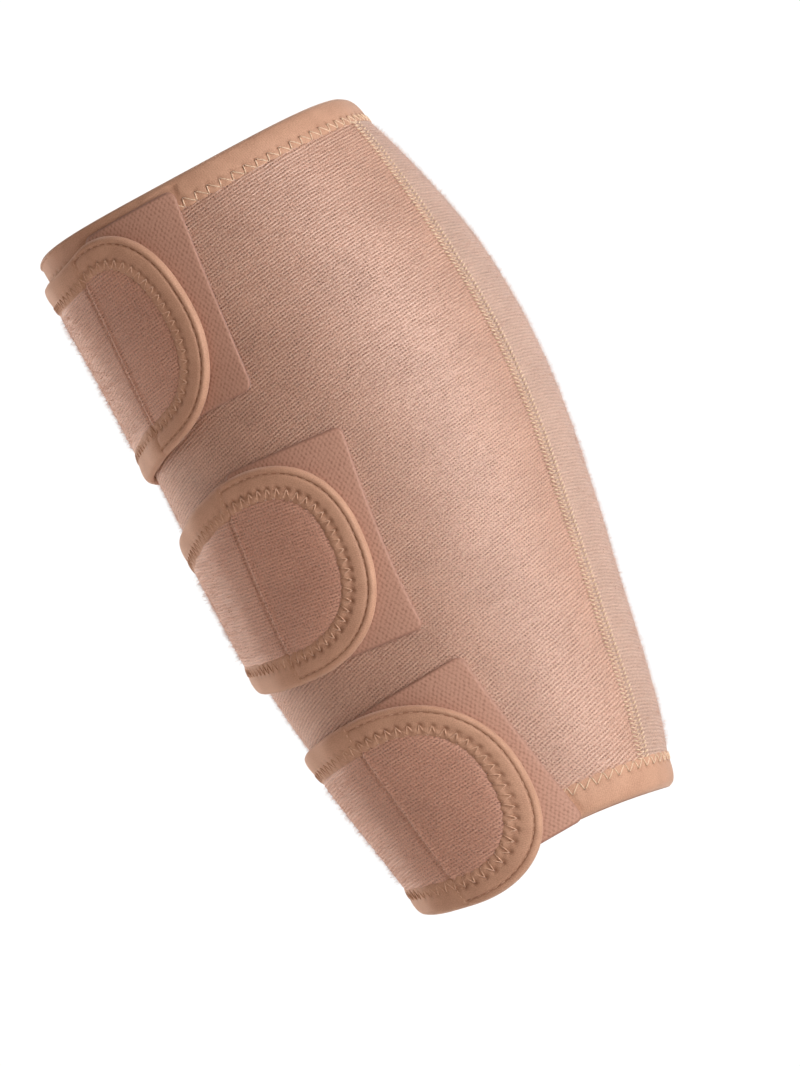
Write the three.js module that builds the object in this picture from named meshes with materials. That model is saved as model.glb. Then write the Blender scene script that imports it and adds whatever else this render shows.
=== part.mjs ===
// Wrap-round calf support: neoprene panels with bound edges and three tabs that close over the shin.
// Millimetres. +Z runs up the leg towards the knee, +X towards the calf, -Y towards the outer side.
// The origin lies on the leg's axis, half way up the support.
import * as THREE from 'three';

// Outline of the outer face from the side, from the ankle end to the knee end.
// shin and calf are its front and back edge, ratio its half depth over its half length.
const SECTIONS = [
  { z: -125.2, shin: -48.9, calf: 40.4, ratio: 0.87 },
  { z: -100.5, shin: -53.2, calf: 48.3, ratio: 0.88 },
  { z: -67.7, shin: -58.8, calf: 55.0, ratio: 0.90 },
  { z: -34.8, shin: -62.6, calf: 61.6, ratio: 0.92 },
  { z: -2.0, shin: -63.1, calf: 67.3, ratio: 0.94 },
  { z: 30.9, shin: -62.6, calf: 69.8, ratio: 0.95 },
  { z: 63.7, shin: -62.1, calf: 67.7, ratio: 0.95 },
  { z: 96.6, shin: -62.7, calf: 60.4, ratio: 0.94 },
  { z: 124.5, shin: -63.4, calf: 51.2, ratio: 0.93 },
];
// How much fuller a section is on its calf side than on its shin side.
const EGG = 0.07;

// Rims: height at the shin and the calf, and how far each one draws in at the two sides.
const TOP_RIM = 123.3;
const TOP_DRAW = 4.2;
const BOTTOM_RIM = -126.0;
const BOTTOM_DRAW = 4.5;

// Cloth and tape.
const PANEL_THICKNESS = 2.8;
const TAB_THICKNESS = 2.3;
const TAPE_THICKNESS = 0.6;
const TAPE_WIDTH = 10.6;
const TAPE_PROUD = 0.3;
const TAPE_CORNER = 0.5;
const PATCH_THICKNESS = 0.9;
const CLEARANCE = 0.3;
// The tab panel lies this far off the shin panel.
const LAYER_GAP = 0.4;
// The cloth is pressed thin inside the folded tape: from its cut edge to just past the tape.
const CUT_EDGE = TAPE_THICKNESS + CLEARANCE;
const PRESSED_END = TAPE_WIDTH + 0.15;
const FULL_START = TAPE_WIDTH + 0.6;
const PRESSED_DEPTH = TAPE_THICKNESS + CLEARANCE;

// Lines down the leg, as turns round it from the shin, in degrees.
const SEAM_TURN = 143.8;
const SEAM_BEND = { from: 55, to: 112, turn: 10, power: 1.6 };
const SHIN_PANEL_END = -57;
const OVERLAP_RISE = { from: -78, to: -64 };
const SIDE_END = -52;

// Tabs: reach and half width of the round end, the place of its middle (s round the leg, z up it),
// the tilt of its axis, the lean of its cross line, and where its edges start at the root.
const ROOT_S = -27;
const TABS = [
  { name: 'top', s: 41.3, z: 79.9, reach: 29.1, half: 35.5, tilt: -10.7, lean: 0.064, upper: null, lower: 41 },
  { name: 'middle', s: 49.7, z: -8.8, reach: 35.6, half: 34.5, tilt: 3.9, lean: 0.084, upper: 20, lower: -39 },
  { name: 'bottom', s: 41.0, z: -95.6, reach: 35.3, half: 35.0, tilt: 9.4, lean: 0.116, upper: -61.5, lower: null },
];
const ROUND_POWER = 2.3;
const ROOT_HANDLE = 25;
const END_HANDLE = 14;
// Each tab rises over its hook patch along this share of its straight run.
const PATCH_RISE = { from: 0.6, to: 0.8 };

// Hook patches: middle, length round the leg, width along it, tilt and lean as on a tab.
const PATCHES = [
  { name: 'top', s: 56.0, z: 82.3, length: 43.5, width: 69.0, tilt: 2.8, lean: 0.006 },
  { name: 'middle', s: 67.5, z: -9.0, length: 45.0, width: 69.0, tilt: 6.7, lean: 0.06 },
  { name: 'bottom', s: 60.0, z: -91.3, length: 45.5, width: 64.0, tilt: -2.0, lean: 0.155 },
];
const PATCH_CORNER = 1.2;

// Mesh steps. Columns are finer where the tabs and patches lie on the panel below.
const SHIN_COLUMNS = [{ to: 0.73, columns: 23 }, { to: 1, columns: 6 }];
const CALF_COLUMNS = [{ to: 1, columns: 12 }];
const SIDE_COLUMNS = [{ to: 0.69, columns: 6 }, { to: 1, columns: 5 }];
const ROOT_COLUMNS = 4;
const PANEL_ROWS = 8;
const TAB_COLUMNS = 10;
const ROUND_STEPS = 16;
const NOTCH_STEPS = 8;
const PATCH_COLUMNS = 6;
const PATCH_ROWS = 8;

const FABRIC = { color: 0xc49a82, roughness: 0.9, metalness: 0 };
const TAPE = { color: 0xb58f70, roughness: 0.8, metalness: 0 };
const HOOK = { color: 0xb98d75, roughness: 0.7, metalness: 0 };

const { degToRad, lerp, smoothstep } = THREE.MathUtils;

// Leg form.

function sectionSlope(index, key) {
  const before = SECTIONS[Math.max(index - 1, 0)];
  const after = SECTIONS[Math.min(index + 1, SECTIONS.length - 1)];
  return (after[key] - before[key]) / (after.z - before.z);
}

function sectionValue(z, key) {
  const last = SECTIONS.length - 2;
  const above = SECTIONS.findIndex((row) => row.z > z);
  const index = above < 0 ? last : Math.min(Math.max(above - 1, 0), last);
  const low = SECTIONS[index];
  const high = SECTIONS[index + 1];
  const step = high.z - low.z;
  const t = (z - low.z) / step;
  const start = sectionSlope(index, key) * step;
  const end = sectionSlope(index + 1, key) * step;
  const rise = high[key] - low[key];
  return low[key] + t * (start + t * (3 * rise - 2 * start - end + t * (start + end - 2 * rise)));
}

function sectionAt(z) {
  const shin = sectionValue(z, 'shin');
  const calf = sectionValue(z, 'calf');
  const half = (calf - shin) / 2;
  return { middle: (calf + shin) / 2, half, depth: half * sectionValue(z, 'ratio') };
}

function radiusAt(z) {
  const { half, depth } = sectionAt(z);
  return (half + depth) / 2;
}

// Point of the leg form at a turn in radians from the shin, moved outwards by an offset.
// The turn is even along the section's edge, so turn times mean radius is a length of cloth.
function place(turn, z, offset) {
  const { middle, half, depth } = sectionAt(z);
  const flat = (half ** 2 - depth ** 2) / (2 * (half ** 2 + depth ** 2));
  const even = (flat / 2) * Math.sin(2 * turn) + (EGG / 2) * (Math.sin(turn) + Math.sin(3 * turn) / 3);
  const angle = Math.PI + turn + even;
  const along = new THREE.Vector2(
    -half * Math.sin(angle),
    depth * (Math.cos(angle) + EGG * Math.cos(2 * angle)),
  ).normalize();
  return new THREE.Vector3(
    middle + half * Math.cos(angle) + offset * along.y,
    depth * Math.sin(angle) * (1 + EGG * Math.cos(angle)) - offset * along.x,
    z,
  );
}

function placeAlong(point, offset) {
  return place(point.x / radiusAt(point.y), point.y, offset);
}

function topRim(turn) {
  return TOP_RIM - TOP_DRAW * Math.sin(turn) ** 2;
}

function bottomRim(turn) {
  return BOTTOM_RIM + BOTTOM_DRAW * Math.sin(turn) ** 2;
}

function seamTurn(z) {
  const share = THREE.MathUtils.clamp((z - SEAM_BEND.from) / (SEAM_BEND.to - SEAM_BEND.from), 0, 1.2);
  return degToRad(SEAM_TURN + SEAM_BEND.turn * share ** SEAM_BEND.power);
}

// Heights of the cloth's two faces and of the tape round its edge, as offsets from the leg form.
// rise goes from 0 on the first layer to 1 where the tab panel lies over the shin panel.
function layerAt(rise, lift) {
  const outer = lerp(0, LAYER_GAP + TAB_THICKNESS, rise) + lift;
  const inner = lerp(-PANEL_THICKNESS, LAYER_GAP, rise) + lift;
  return { outer, inner, tapeOuter: outer + TAPE_PROUD * rise, tapeInner: inner };
}

function overlapRise(turn) {
  return smoothstep(turn, degToRad(OVERLAP_RISE.from), degToRad(OVERLAP_RISE.to));
}

// Closed solids.

function closedGeometry(points, triangles) {
  let volume = 0;
  for (const [a, b, c] of triangles) {
    volume += points[a].dot(new THREE.Vector3().crossVectors(points[b], points[c]));
  }
  const ordered = volume < 0 ? triangles.map(([a, b, c]) => [a, c, b]) : triangles;
  const geometry = new THREE.BufferGeometry().setFromPoints(points);
  geometry.setIndex(ordered.flat());
  geometry.computeVertexNormals();
  return geometry;
}

// A sheet of cloth with an outer and an inner face, closed by a wall along its free edges.
class Sheet {
  constructor() {
    this.outer = [];
    this.inner = [];
    this.cells = [];
  }

  add(outer, inner) {
    this.outer.push(outer);
    this.inner.push(inner);
    return this.outer.length - 1;
  }

  // Corners run round the cell; a corner met twice makes the cell a triangle.
  cell(...corners) {
    this.cells.push([...new Set(corners)]);
  }

  // Joins two rows of points by a strip of cells.
  strip(first, second) {
    for (let i = 0; i + 1 < first.length; i += 1) {
      this.cell(first[i], first[i + 1], second[i + 1], second[i]);
    }
  }

  geometry() {
    const count = this.outer.length;
    const triangles = [];
    const edges = new Map();
    for (const corners of this.cells) {
      for (let i = 1; i + 1 < corners.length; i += 1) {
        triangles.push([corners[0], corners[i], corners[i + 1]]);
        triangles.push([count + corners[0], count + corners[i + 1], count + corners[i]]);
      }
      corners.forEach((corner, i) => {
        const next = corners[(i + 1) % corners.length];
        edges.set(`${corner} ${next}`, [corner, next]);
      });
    }
    for (const [a, b] of edges.values()) {
      if (!edges.has(`${b} ${a}`)) {
        triangles.push([b, a, count + a], [b, count + a, count + b]);
      }
    }
    return closedGeometry([...this.outer, ...this.inner], triangles);
  }
}

// Folded tape in section: depth in from the edge, face it lies on, distance inside that face.
const TAPE_PROFILE = [
  { depth: TAPE_WIDTH, face: 'tapeOuter', inside: 0 },
  { depth: TAPE_CORNER, face: 'tapeOuter', inside: 0 },
  { depth: 0, face: 'tapeOuter', inside: TAPE_CORNER },
  { depth: 0, face: 'tapeInner', inside: -TAPE_CORNER },
  { depth: TAPE_CORNER, face: 'tapeInner', inside: 0 },
  { depth: TAPE_WIDTH, face: 'tapeInner', inside: 0 },
  { depth: TAPE_WIDTH, face: 'tapeInner', inside: -TAPE_THICKNESS },
  { depth: TAPE_THICKNESS, face: 'tapeInner', inside: -TAPE_THICKNESS },
  { depth: TAPE_THICKNESS, face: 'tapeOuter', inside: TAPE_THICKNESS },
  { depth: TAPE_WIDTH, face: 'tapeOuter', inside: TAPE_THICKNESS },
];

// Tape swept along a cloth edge. Each frame gives the edge's point at a depth, and the layer there.
function tapeGeometry(frames) {
  const count = TAPE_PROFILE.length;
  const points = frames.flatMap((frame) => TAPE_PROFILE.map(
    (corner) => placeAlong(frame.at(corner.depth), frame.layer[corner.face] - corner.inside),
  ));
  const triangles = [];
  for (let i = 0; i + 1 < frames.length; i += 1) {
    for (let j = 0; j < count; j += 1) {
      const next = (j + 1) % count;
      const [a, b] = [i * count + j, i * count + next];
      const [c, d] = [a + count, b + count];
      triangles.push([a, b, d], [a, d, c]);
    }
  }
  const flat = TAPE_PROFILE.map((corner) => new THREE.Vector2(
    corner.depth,
    (corner.face === 'tapeOuter' ? PANEL_THICKNESS : 0) - corner.inside,
  ));
  const end = (frames.length - 1) * count;
  for (const [a, b, c] of THREE.ShapeUtils.triangulateShape(flat, [])) {
    triangles.push([b, a, c], [end + a, end + b, end + c]);
  }
  return closedGeometry(points, triangles);
}

function steps(count) {
  return Array.from({ length: count + 1 }, (_, i) => i / count);
}

// Shares of the way from 0 to 1 with another spacing in each run.
function unevenSteps(runs) {
  const shares = [0];
  for (const { to, columns } of runs) {
    const from = shares[shares.length - 1];
    shares.push(...steps(columns).slice(1).map((share) => lerp(from, to, share)));
  }
  return shares;
}

// Runs of cloth round the leg, each between two lines down it, with its columns.
const fullTurn = 2 * Math.PI;
const shinRun = { start: () => degToRad(SHIN_PANEL_END), end: seamTurn, shares: unevenSteps(SHIN_COLUMNS) };
const calfRun = { start: seamTurn, end: (z) => fullTurn - seamTurn(z), shares: unevenSteps(CALF_COLUMNS) };
const sideRun = {
  start: (z) => fullTurn - seamTurn(z),
  end: () => fullTurn + degToRad(SIDE_END),
  shares: unevenSteps(SIDE_COLUMNS),
};
const rootRun = {
  start: sideRun.end,
  end: (z) => fullTurn + ROOT_S / radiusAt(z),
  shares: steps(ROOT_COLUMNS),
};

// Point of a run's column at a height. The panels' cut edges stop half a clearance short of a seam line.
function runPoint(run, share, z, edgeGap = 0) {
  const gap = edgeGap / radiusAt(z);
  const turn = lerp(run.start(z) + gap, run.end(z) - gap, share);
  return new THREE.Vector2(turn * radiusAt(z), z);
}

function runTurn(run, share, z) {
  return lerp(run.start(z), run.end(z), share);
}

// Panels round the shin and down the calf.

// Rows up a panel: pressed thin in both rims' tape, full between them.
function panelRows(bottom, top) {
  const low = bottom + FULL_START;
  const high = top - FULL_START;
  return [
    { z: bottom + CUT_EDGE, pressed: true },
    { z: bottom + PRESSED_END, pressed: true },
    ...steps(PANEL_ROWS).map((share) => ({ z: lerp(low, high, share), pressed: false })),
    { z: top - PRESSED_END, pressed: true },
    { z: top - CUT_EDGE, pressed: true },
  ];
}

function addCloth(sheet, point, layer, pressed) {
  const outer = pressed ? layer.tapeOuter - PRESSED_DEPTH : layer.outer;
  const inner = pressed ? layer.tapeInner + PRESSED_DEPTH : layer.inner;
  return sheet.add(placeAlong(point, outer), placeAlong(point, inner));
}

function panelGeometry(run) {
  const sheet = new Sheet();
  const layer = layerAt(0, 0);
  let previous = null;
  for (const share of run.shares) {
    const bottom = bottomRim(runTurn(run, share, BOTTOM_RIM));
    const top = topRim(runTurn(run, share, TOP_RIM));
    const column = panelRows(bottom, top).map((row) => (
      addCloth(sheet, runPoint(run, share, row.z, CLEARANCE / 2), layer, row.pressed)
    ));
    if (previous) {
      sheet.strip(column, previous);
    }
    previous = column;
  }
  return sheet.geometry();
}

// Tabs.

const rootTurnTop = ROOT_S / radiusAt(TOP_RIM);
const rootTurnBottom = ROOT_S / radiusAt(BOTTOM_RIM);

// A tab's round end and the two edges that lead to it, in cloth lengths (s, z).
class TabForm {
  constructor(row) {
    const tilt = degToRad(row.tilt);
    this.row = row;
    this.axis = new THREE.Vector2(Math.cos(tilt), -Math.sin(tilt));
    this.cross = new THREE.Vector2(Math.sin(tilt) + row.lean, Math.cos(tilt));
    this.upper = this.edge(row.upper ?? topRim(rootTurnTop), row.half);
    this.lower = this.edge(row.lower ?? bottomRim(rootTurnBottom), -row.half);
  }

  point(along, across) {
    return new THREE.Vector2(this.row.s, this.row.z)
      .addScaledVector(this.axis, along)
      .addScaledVector(this.cross, across);
  }

  edge(rootZ, across) {
    const root = new THREE.Vector2(ROOT_S, rootZ);
    const corner = this.point(0, across);
    return new THREE.CubicBezierCurve(
      root,
      root.clone().add(new THREE.Vector2(ROOT_HANDLE, 0)),
      corner.clone().addScaledVector(this.axis, -END_HANDLE),
      corner,
    );
  }

  // Point of the straight run: a share from the root to the round end, and a depth in from an edge.
  runPoint(share, side, depth) {
    const edge = (side > 0 ? this.upper : this.lower).getPoint(share);
    const other = (side > 0 ? this.lower : this.upper).getPoint(share);
    return edge.addScaledVector(other.sub(edge).normalize(), depth);
  }

  runMiddle(share) {
    return this.upper.getPoint(share).lerp(this.lower.getPoint(share), 0.5);
  }

  // Point of the round end: an angle from its upper to its lower corner, and a depth in from its edge.
  roundPoint(angle, depth) {
    const { reach, half } = this.row;
    const cos = Math.max(Math.cos(angle), 0);
    const sin = Math.sin(angle);
    const along = cos ** (2 / ROUND_POWER);
    const across = Math.sign(sin) * Math.abs(sin) ** (2 / ROUND_POWER);
    const slope = ROUND_POWER - 1;
    const normal = new THREE.Vector2(
      along ** slope / reach,
      (Math.sign(across) * Math.abs(across) ** slope) / half,
    ).normalize();
    return this.point(reach * along - depth * normal.x, half * across - depth * normal.y);
  }

  layer(share) {
    const lift = PATCH_THICKNESS + CLEARANCE;
    return layerAt(1, lift * smoothstep(share, PATCH_RISE.from, PATCH_RISE.to));
  }
}

const tabForms = TABS.map((row) => new TabForm(row));

// The half-round notch between a tab and the next one below it.
class NotchForm {
  constructor(above, below) {
    const top = above.lower.getPoint(0).y;
    const bottom = below.upper.getPoint(0).y;
    this.middle = new THREE.Vector2(ROOT_S, (top + bottom) / 2);
    this.radius = (top - bottom) / 2;
  }

  // Angle from the upper tab's edge round to the lower tab's, and a depth in from the notch's edge.
  point(angle, depth) {
    const reach = this.radius + depth;
    return this.middle.clone().add(new THREE.Vector2(-reach * Math.cos(angle), reach * Math.sin(angle)));
  }
}

const notchForms = [new NotchForm(tabForms[0], tabForms[1]), new NotchForm(tabForms[1], tabForms[2])];

function halfTurn(count) {
  return steps(count).map((share) => lerp(Math.PI / 2, -Math.PI / 2, share));
}

const EDGE_DEPTHS = [CUT_EDGE, PRESSED_END, FULL_START];

function isPressed(depth) {
  return depth < FULL_START;
}

// Rows of one tab from its upper to its lower edge, column by column, then its round end.
// Returns the root column, which the side panel's rows meet.
function addTab(sheet, tab) {
  const column = (share) => {
    const layer = tab.layer(share);
    const side = (sign) => {
      const inmost = tab.runPoint(share, sign, FULL_START).lerp(tab.runMiddle(share), 0.5);
      return [
        ...EDGE_DEPTHS.map((depth) => addCloth(sheet, tab.runPoint(share, sign, depth), layer, isPressed(depth))),
        addCloth(sheet, inmost, layer, false),
      ];
    };
    const middle = addCloth(sheet, tab.runMiddle(share), layer, false);
    return { upper: side(1), middle, lower: side(-1).reverse() };
  };
  const columns = steps(TAB_COLUMNS).map(column);
  const whole = columns.map(({ upper, middle, lower }) => [...upper, middle, ...lower]);
  for (let i = 0; i + 1 < whole.length; i += 1) {
    sheet.strip(whole[i], whole[i + 1]);
  }
  const last = columns[TAB_COLUMNS];
  const layer = tab.layer(1);
  let previous = last.upper;
  for (const angle of halfTurn(ROUND_STEPS).slice(1, -1)) {
    const inmost = tab.roundPoint(angle, FULL_START).lerp(tab.runMiddle(1), 0.5);
    const ray = [
      ...EDGE_DEPTHS.map((depth) => addCloth(sheet, tab.roundPoint(angle, depth), layer, isPressed(depth))),
      addCloth(sheet, inmost, layer, false),
    ];
    sheet.strip([...previous, last.middle], [...ray, last.middle]);
    previous = ray;
  }
  sheet.strip([...previous, last.middle], [...last.lower.slice().reverse(), last.middle]);
  return columns[0];
}

// Adds the pressed edge round a notch and returns the row of points at its inner border.
function addNotch(sheet, notch, above, below) {
  const layer = layerAt(1, 0);
  const upper = above.lower.slice(1).reverse();
  const lower = below.upper.slice(0, EDGE_DEPTHS.length);
  const border = [];
  let previous = upper;
  for (const angle of halfTurn(NOTCH_STEPS).slice(1, -1)) {
    const ray = EDGE_DEPTHS.map((depth) => addCloth(sheet, notch.point(angle, depth), layer, isPressed(depth)));
    sheet.strip(previous, ray);
    border.push({ index: ray[ray.length - 1], point: notch.point(angle, FULL_START) });
    previous = ray;
  }
  sheet.strip(previous, lower);
  return border;
}

// Rows of the side panel, from the far seam to the tabs' roots; each row ends at a tab or a notch.
function sideRows(roots, borders) {
  const rows = [];
  roots.forEach((root, i) => {
    const tab = tabForms[i];
    const add = (z, index, pressed) => rows.push({ end: new THREE.Vector2(ROOT_S, z), index, pressed });
    const upperZ = EDGE_DEPTHS.map((depth) => tab.runPoint(0, 1, depth).y);
    const lowerZ = EDGE_DEPTHS.map((depth) => tab.runPoint(0, -1, depth).y);
    const middleZ = tab.runMiddle(0).y;
    const full = EDGE_DEPTHS.length - 1;
    const firstUpper = i === 0 ? 0 : full;
    for (let j = firstUpper; j <= full; j += 1) {
      add(upperZ[j], root.upper[j], j < full);
    }
    add((upperZ[full] + middleZ) / 2, root.upper[full + 1], false);
    add(middleZ, root.middle, false);
    add((lowerZ[full] + middleZ) / 2, root.lower[0], false);
    const lastLower = i === roots.length - 1 ? 0 : full;
    for (let j = full; j >= lastLower; j -= 1) {
      add(lowerZ[j], root.lower[1 + full - j], j < full);
    }
    (borders[i] ?? []).forEach(({ index, point }) => rows.push({ end: point, index, pressed: false }));
  });
  return rows;
}

// Height of a side row at a turn: it follows the nearer rim as that draws in.
function sideHeight(row, turn) {
  const endTurn = row.end.x / radiusAt(row.end.y);
  const low = bottomRim(rootTurnBottom) + FULL_START;
  const high = topRim(rootTurnTop) - FULL_START;
  const share = THREE.MathUtils.clamp((row.end.y - low) / (high - low), 0, 1);
  const topMove = topRim(turn) - topRim(endTurn);
  const bottomMove = bottomRim(turn) - bottomRim(endTurn);
  return row.end.y + lerp(bottomMove, topMove, share);
}

function addSide(sheet, rows) {
  const columnAt = (run, share) => rows.map((row) => {
    const z = sideHeight(row, runTurn(run, share, row.end.y > 0 ? TOP_RIM : BOTTOM_RIM));
    const turn = runTurn(run, share, z);
    const layer = layerAt(overlapRise(turn - fullTurn), 0);
    return addCloth(sheet, new THREE.Vector2((turn - fullTurn) * radiusAt(z), z), layer, row.pressed);
  });
  const cutRun = {
    start: (z) => sideRun.start(z) + CLEARANCE / 2 / radiusAt(z),
    end: sideRun.end,
  };
  const columns = sideRun.shares.map((share) => columnAt(cutRun, share));
  for (const share of rootRun.shares.slice(1, -1)) {
    columns.push(rows.map((row) => {
      const endTurn = row.end.x / radiusAt(row.end.y);
      const turn = lerp(degToRad(SIDE_END), endTurn, share);
      const z = sideHeight(row, turn);
      return addCloth(sheet, new THREE.Vector2(turn * radiusAt(z), z), layerAt(1, 0), row.pressed);
    }));
  }
  columns.push(rows.map((row) => row.index));
  for (let i = 0; i + 1 < columns.length; i += 1) {
    sheet.strip(columns[i], columns[i + 1]);
  }
}

function tabPanelGeometry() {
  const sheet = new Sheet();
  const roots = tabForms.map((tab) => addTab(sheet, tab));
  const borders = notchForms.map((notch, i) => addNotch(sheet, notch, roots[i], roots[i + 1]));
  addSide(sheet, sideRows(roots, borders));
  return sheet.geometry();
}

// Tape round the rims and the tabs.

// From the shin panel's hidden end, once round the leg, to the root of the tab at that rim.
function rimTapeGeometry(rim, inward) {
  const frames = [];
  for (const run of [shinRun, calfRun, sideRun, rootRun]) {
    const shares = run === shinRun ? run.shares : run.shares.slice(1);
    for (const share of shares) {
      const turn = runTurn(run, share, rim(0));
      const at = (depth) => runPoint(run, share, rim(turn) + inward * depth);
      frames.push({ at, layer: layerAt(overlapRise(turn - fullTurn), 0) });
    }
  }
  const root = frames[frames.length - 1];
  const rootAt = root.at;
  root.at = (depth) => rootAt(depth).sub(new THREE.Vector2(CLEARANCE, 0));
  return tapeGeometry(frames);
}

// From a tab's upper root round its end to its lower root, then round the notch below it.
function tabTapeGeometry(tab, notch) {
  const run = (share, side) => ({ at: (depth) => tab.runPoint(share, side, depth), layer: tab.layer(share) });
  const shares = steps(TAB_COLUMNS);
  const frames = [
    ...shares.map((share) => run(share, 1)),
    ...halfTurn(ROUND_STEPS).slice(1, -1).map((angle) => (
      { at: (depth) => tab.roundPoint(angle, depth), layer: tab.layer(1) }
    )),
    ...shares.slice().reverse().map((share) => run(share, -1)),
  ];
  if (notch) {
    const layer = layerAt(1, 0);
    const gap = CLEARANCE / notch.radius;
    const angles = halfTurn(NOTCH_STEPS).slice(1);
    angles[angles.length - 1] += gap;
    frames.push(...angles.map((angle) => ({ at: (depth) => notch.point(angle, depth), layer })));
  }
  return tapeGeometry(frames);
}

// Hook patches, flat on the shin panel under the round ends.

function patchGeometry(row) {
  const sheet = new Sheet();
  const tilt = degToRad(row.tilt);
  const axis = new THREE.Vector2(Math.cos(tilt), -Math.sin(tilt));
  const cross = new THREE.Vector2(Math.sin(tilt) + row.lean, Math.cos(tilt));
  let previous = null;
  for (const share of steps(PATCH_COLUMNS)) {
    const column = steps(PATCH_ROWS).map((rise) => {
      const corner = share % 1 === 0 && rise % 1 === 0 ? PATCH_CORNER : 0;
      const along = (row.length - 2 * corner) * (share - 0.5);
      const across = (row.width - 2 * corner) * (rise - 0.5);
      const point = new THREE.Vector2(row.s, row.z).addScaledVector(axis, along).addScaledVector(cross, across);
      return sheet.add(placeAlong(point, CLEARANCE + PATCH_THICKNESS), placeAlong(point, CLEARANCE));
    });
    if (previous) {
      sheet.strip(column, previous);
    }
    previous = column;
  }
  return sheet.geometry();
}

// Assembly.

function piece(name, geometry, finish) {
  const mesh = new THREE.Mesh(geometry, new THREE.MeshStandardMaterial(finish));
  mesh.name = name;
  return mesh;
}

const support = new THREE.Group();
support.add(piece('shin_panel', panelGeometry(shinRun), FABRIC));
support.add(piece('calf_panel', panelGeometry(calfRun), FABRIC));
support.add(piece('tab_panel', tabPanelGeometry(), FABRIC));
support.add(piece('top_binding', rimTapeGeometry(topRim, -1), TAPE));
support.add(piece('bottom_binding', rimTapeGeometry(bottomRim, 1), TAPE));
tabForms.forEach((tab, i) => {
  support.add(piece(`tab_binding_${tab.row.name}`, tabTapeGeometry(tab, notchForms[i]), TAPE));
});
PATCHES.forEach((row) => {
  support.add(piece(`hook_patch_${row.name}`, patchGeometry(row), HOOK));
});

export default support;
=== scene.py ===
"""Looks of a wrap-round calf support: knit-faced neoprene, folded edge tape, hook patches and stitching.

Sizes are millimetres on the cloth. LegForm.place turns them into metres in the object's frame.
"""

import logging
import math
from dataclasses import dataclass, field
from enum import Enum
from typing import Any, NamedTuple

import bmesh
import bpy
import numpy as np
from mathutils import Matrix, Vector


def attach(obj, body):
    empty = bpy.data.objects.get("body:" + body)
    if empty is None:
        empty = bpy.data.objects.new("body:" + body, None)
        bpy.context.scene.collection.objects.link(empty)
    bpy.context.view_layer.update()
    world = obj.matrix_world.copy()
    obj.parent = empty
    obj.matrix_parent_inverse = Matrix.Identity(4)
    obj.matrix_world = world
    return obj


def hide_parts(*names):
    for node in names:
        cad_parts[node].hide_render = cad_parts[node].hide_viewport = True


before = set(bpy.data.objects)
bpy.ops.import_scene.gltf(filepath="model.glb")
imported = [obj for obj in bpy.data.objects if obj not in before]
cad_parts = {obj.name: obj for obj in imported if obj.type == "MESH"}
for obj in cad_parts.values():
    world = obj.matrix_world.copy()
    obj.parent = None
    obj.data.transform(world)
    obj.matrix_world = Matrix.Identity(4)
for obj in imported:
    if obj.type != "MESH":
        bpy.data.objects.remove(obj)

log = logging.getLogger("calf_support")
Array = np.ndarray
Material = bpy.types.Material
Node = bpy.types.Node
Piece = bpy.types.Object
Socket = bpy.types.NodeSocket
Tree = bpy.types.NodeTree

MM = 0.001
BODY = "root"
CLOTH_UV = "cloth"
FULL_TURN = 2.0 * math.pi
# Distance in metres within which vertices are welded.
WELD = 1e-6


class Slot(Enum):
    """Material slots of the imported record."""

    KNIT = "knit_neoprene"
    TAPE = "binding_tape"
    HOOK = "hook_tape"


# Curves and steps


def ease(x: Array, low: float, high: float) -> Array:
    """Eased step from 0 at low to 1 at high."""
    share = np.clip((x - low) / (high - low), 0.0, 1.0)
    return share * share * (3.0 - 2.0 * share)


def bell(x: Array, width: float) -> Array:
    """Bell curve of height 1 round 0."""
    return np.exp(-((x / width) ** 2))


def mix(low: Any, high: Any, share: Any) -> Any:
    """Value a share of the way from low to high."""
    return low + (high - low) * share


class Ripple(NamedTuple):
    """Ridge along a line, or groove if its height is negative: height, distance off the line and width."""

    height: float
    away: float
    width: float

    def at(self, distance: Array) -> Array:
        """Height at each distance from the line."""
        return self.height * bell(distance - self.away, self.width)


def cubic(low: Array, high: Array, start: Array, end: Array, share: Array) -> Array:
    """Smooth curve between two values with given slopes.

    Args:
        low: Values at the start.
        high: Values at the end.
        start: Slopes at the start.
        end: Slopes at the end.
        share: Shares of the way from low to high.

    Returns:
        The curve's values.
    """
    rise = high - low
    bend = 3.0 * rise - 2.0 * start - end
    return low + share * (start + share * (bend + share * (start + end - 2.0 * rise)))


def smooth_line(corners: Array, count: int) -> Array:
    """Points on a smooth line through corner points.

    Args:
        corners: Corner points, a row each.
        count: Number of points wanted.

    Returns:
        The points, a row each, spread evenly from corner to corner.
    """
    share = np.linspace(0.0, len(corners) - 1.0, count)
    index = np.minimum(share.astype(int), len(corners) - 2)
    slopes = np.gradient(corners, axis=0)
    past = (share - index)[:, None]
    return cubic(corners[index], corners[index + 1], slopes[index], slopes[index + 1], past)


def lengths_along(points: Array) -> Array:
    """Length along a line of points, up to each of them."""
    steps = np.linalg.norm(np.diff(points, axis=0), axis=1)
    return np.concatenate([[0.0], np.cumsum(steps)])


# Number of waves in a patch of unevenness, and the range of their lengths over its size.
WAVES = 7
WAVE_LENGTHS = (0.7, 1.6)


def wobble(x: Array, y: Array, size: float, seed: int) -> Array:
    """Soft unevenness from about -1 to 1, made of a few crossed waves.

    Args:
        x: First place on the cloth.
        y: Second place on the cloth.
        size: Typical distance between two high spots.
        seed: Number that picks the waves.

    Returns:
        Unevenness at each place.
    """
    rng = np.random.default_rng(seed)
    total = np.zeros(np.broadcast(x, y).shape)
    for _ in range(WAVES):
        angle, phase = rng.uniform(0.0, FULL_TURN, 2)
        pitch = size * rng.uniform(*WAVE_LENGTHS)
        total += np.sin(FULL_TURN * (x * np.cos(angle) + y * np.sin(angle)) / pitch + phase)
    return total / math.sqrt(WAVES)


# The worn form


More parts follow.
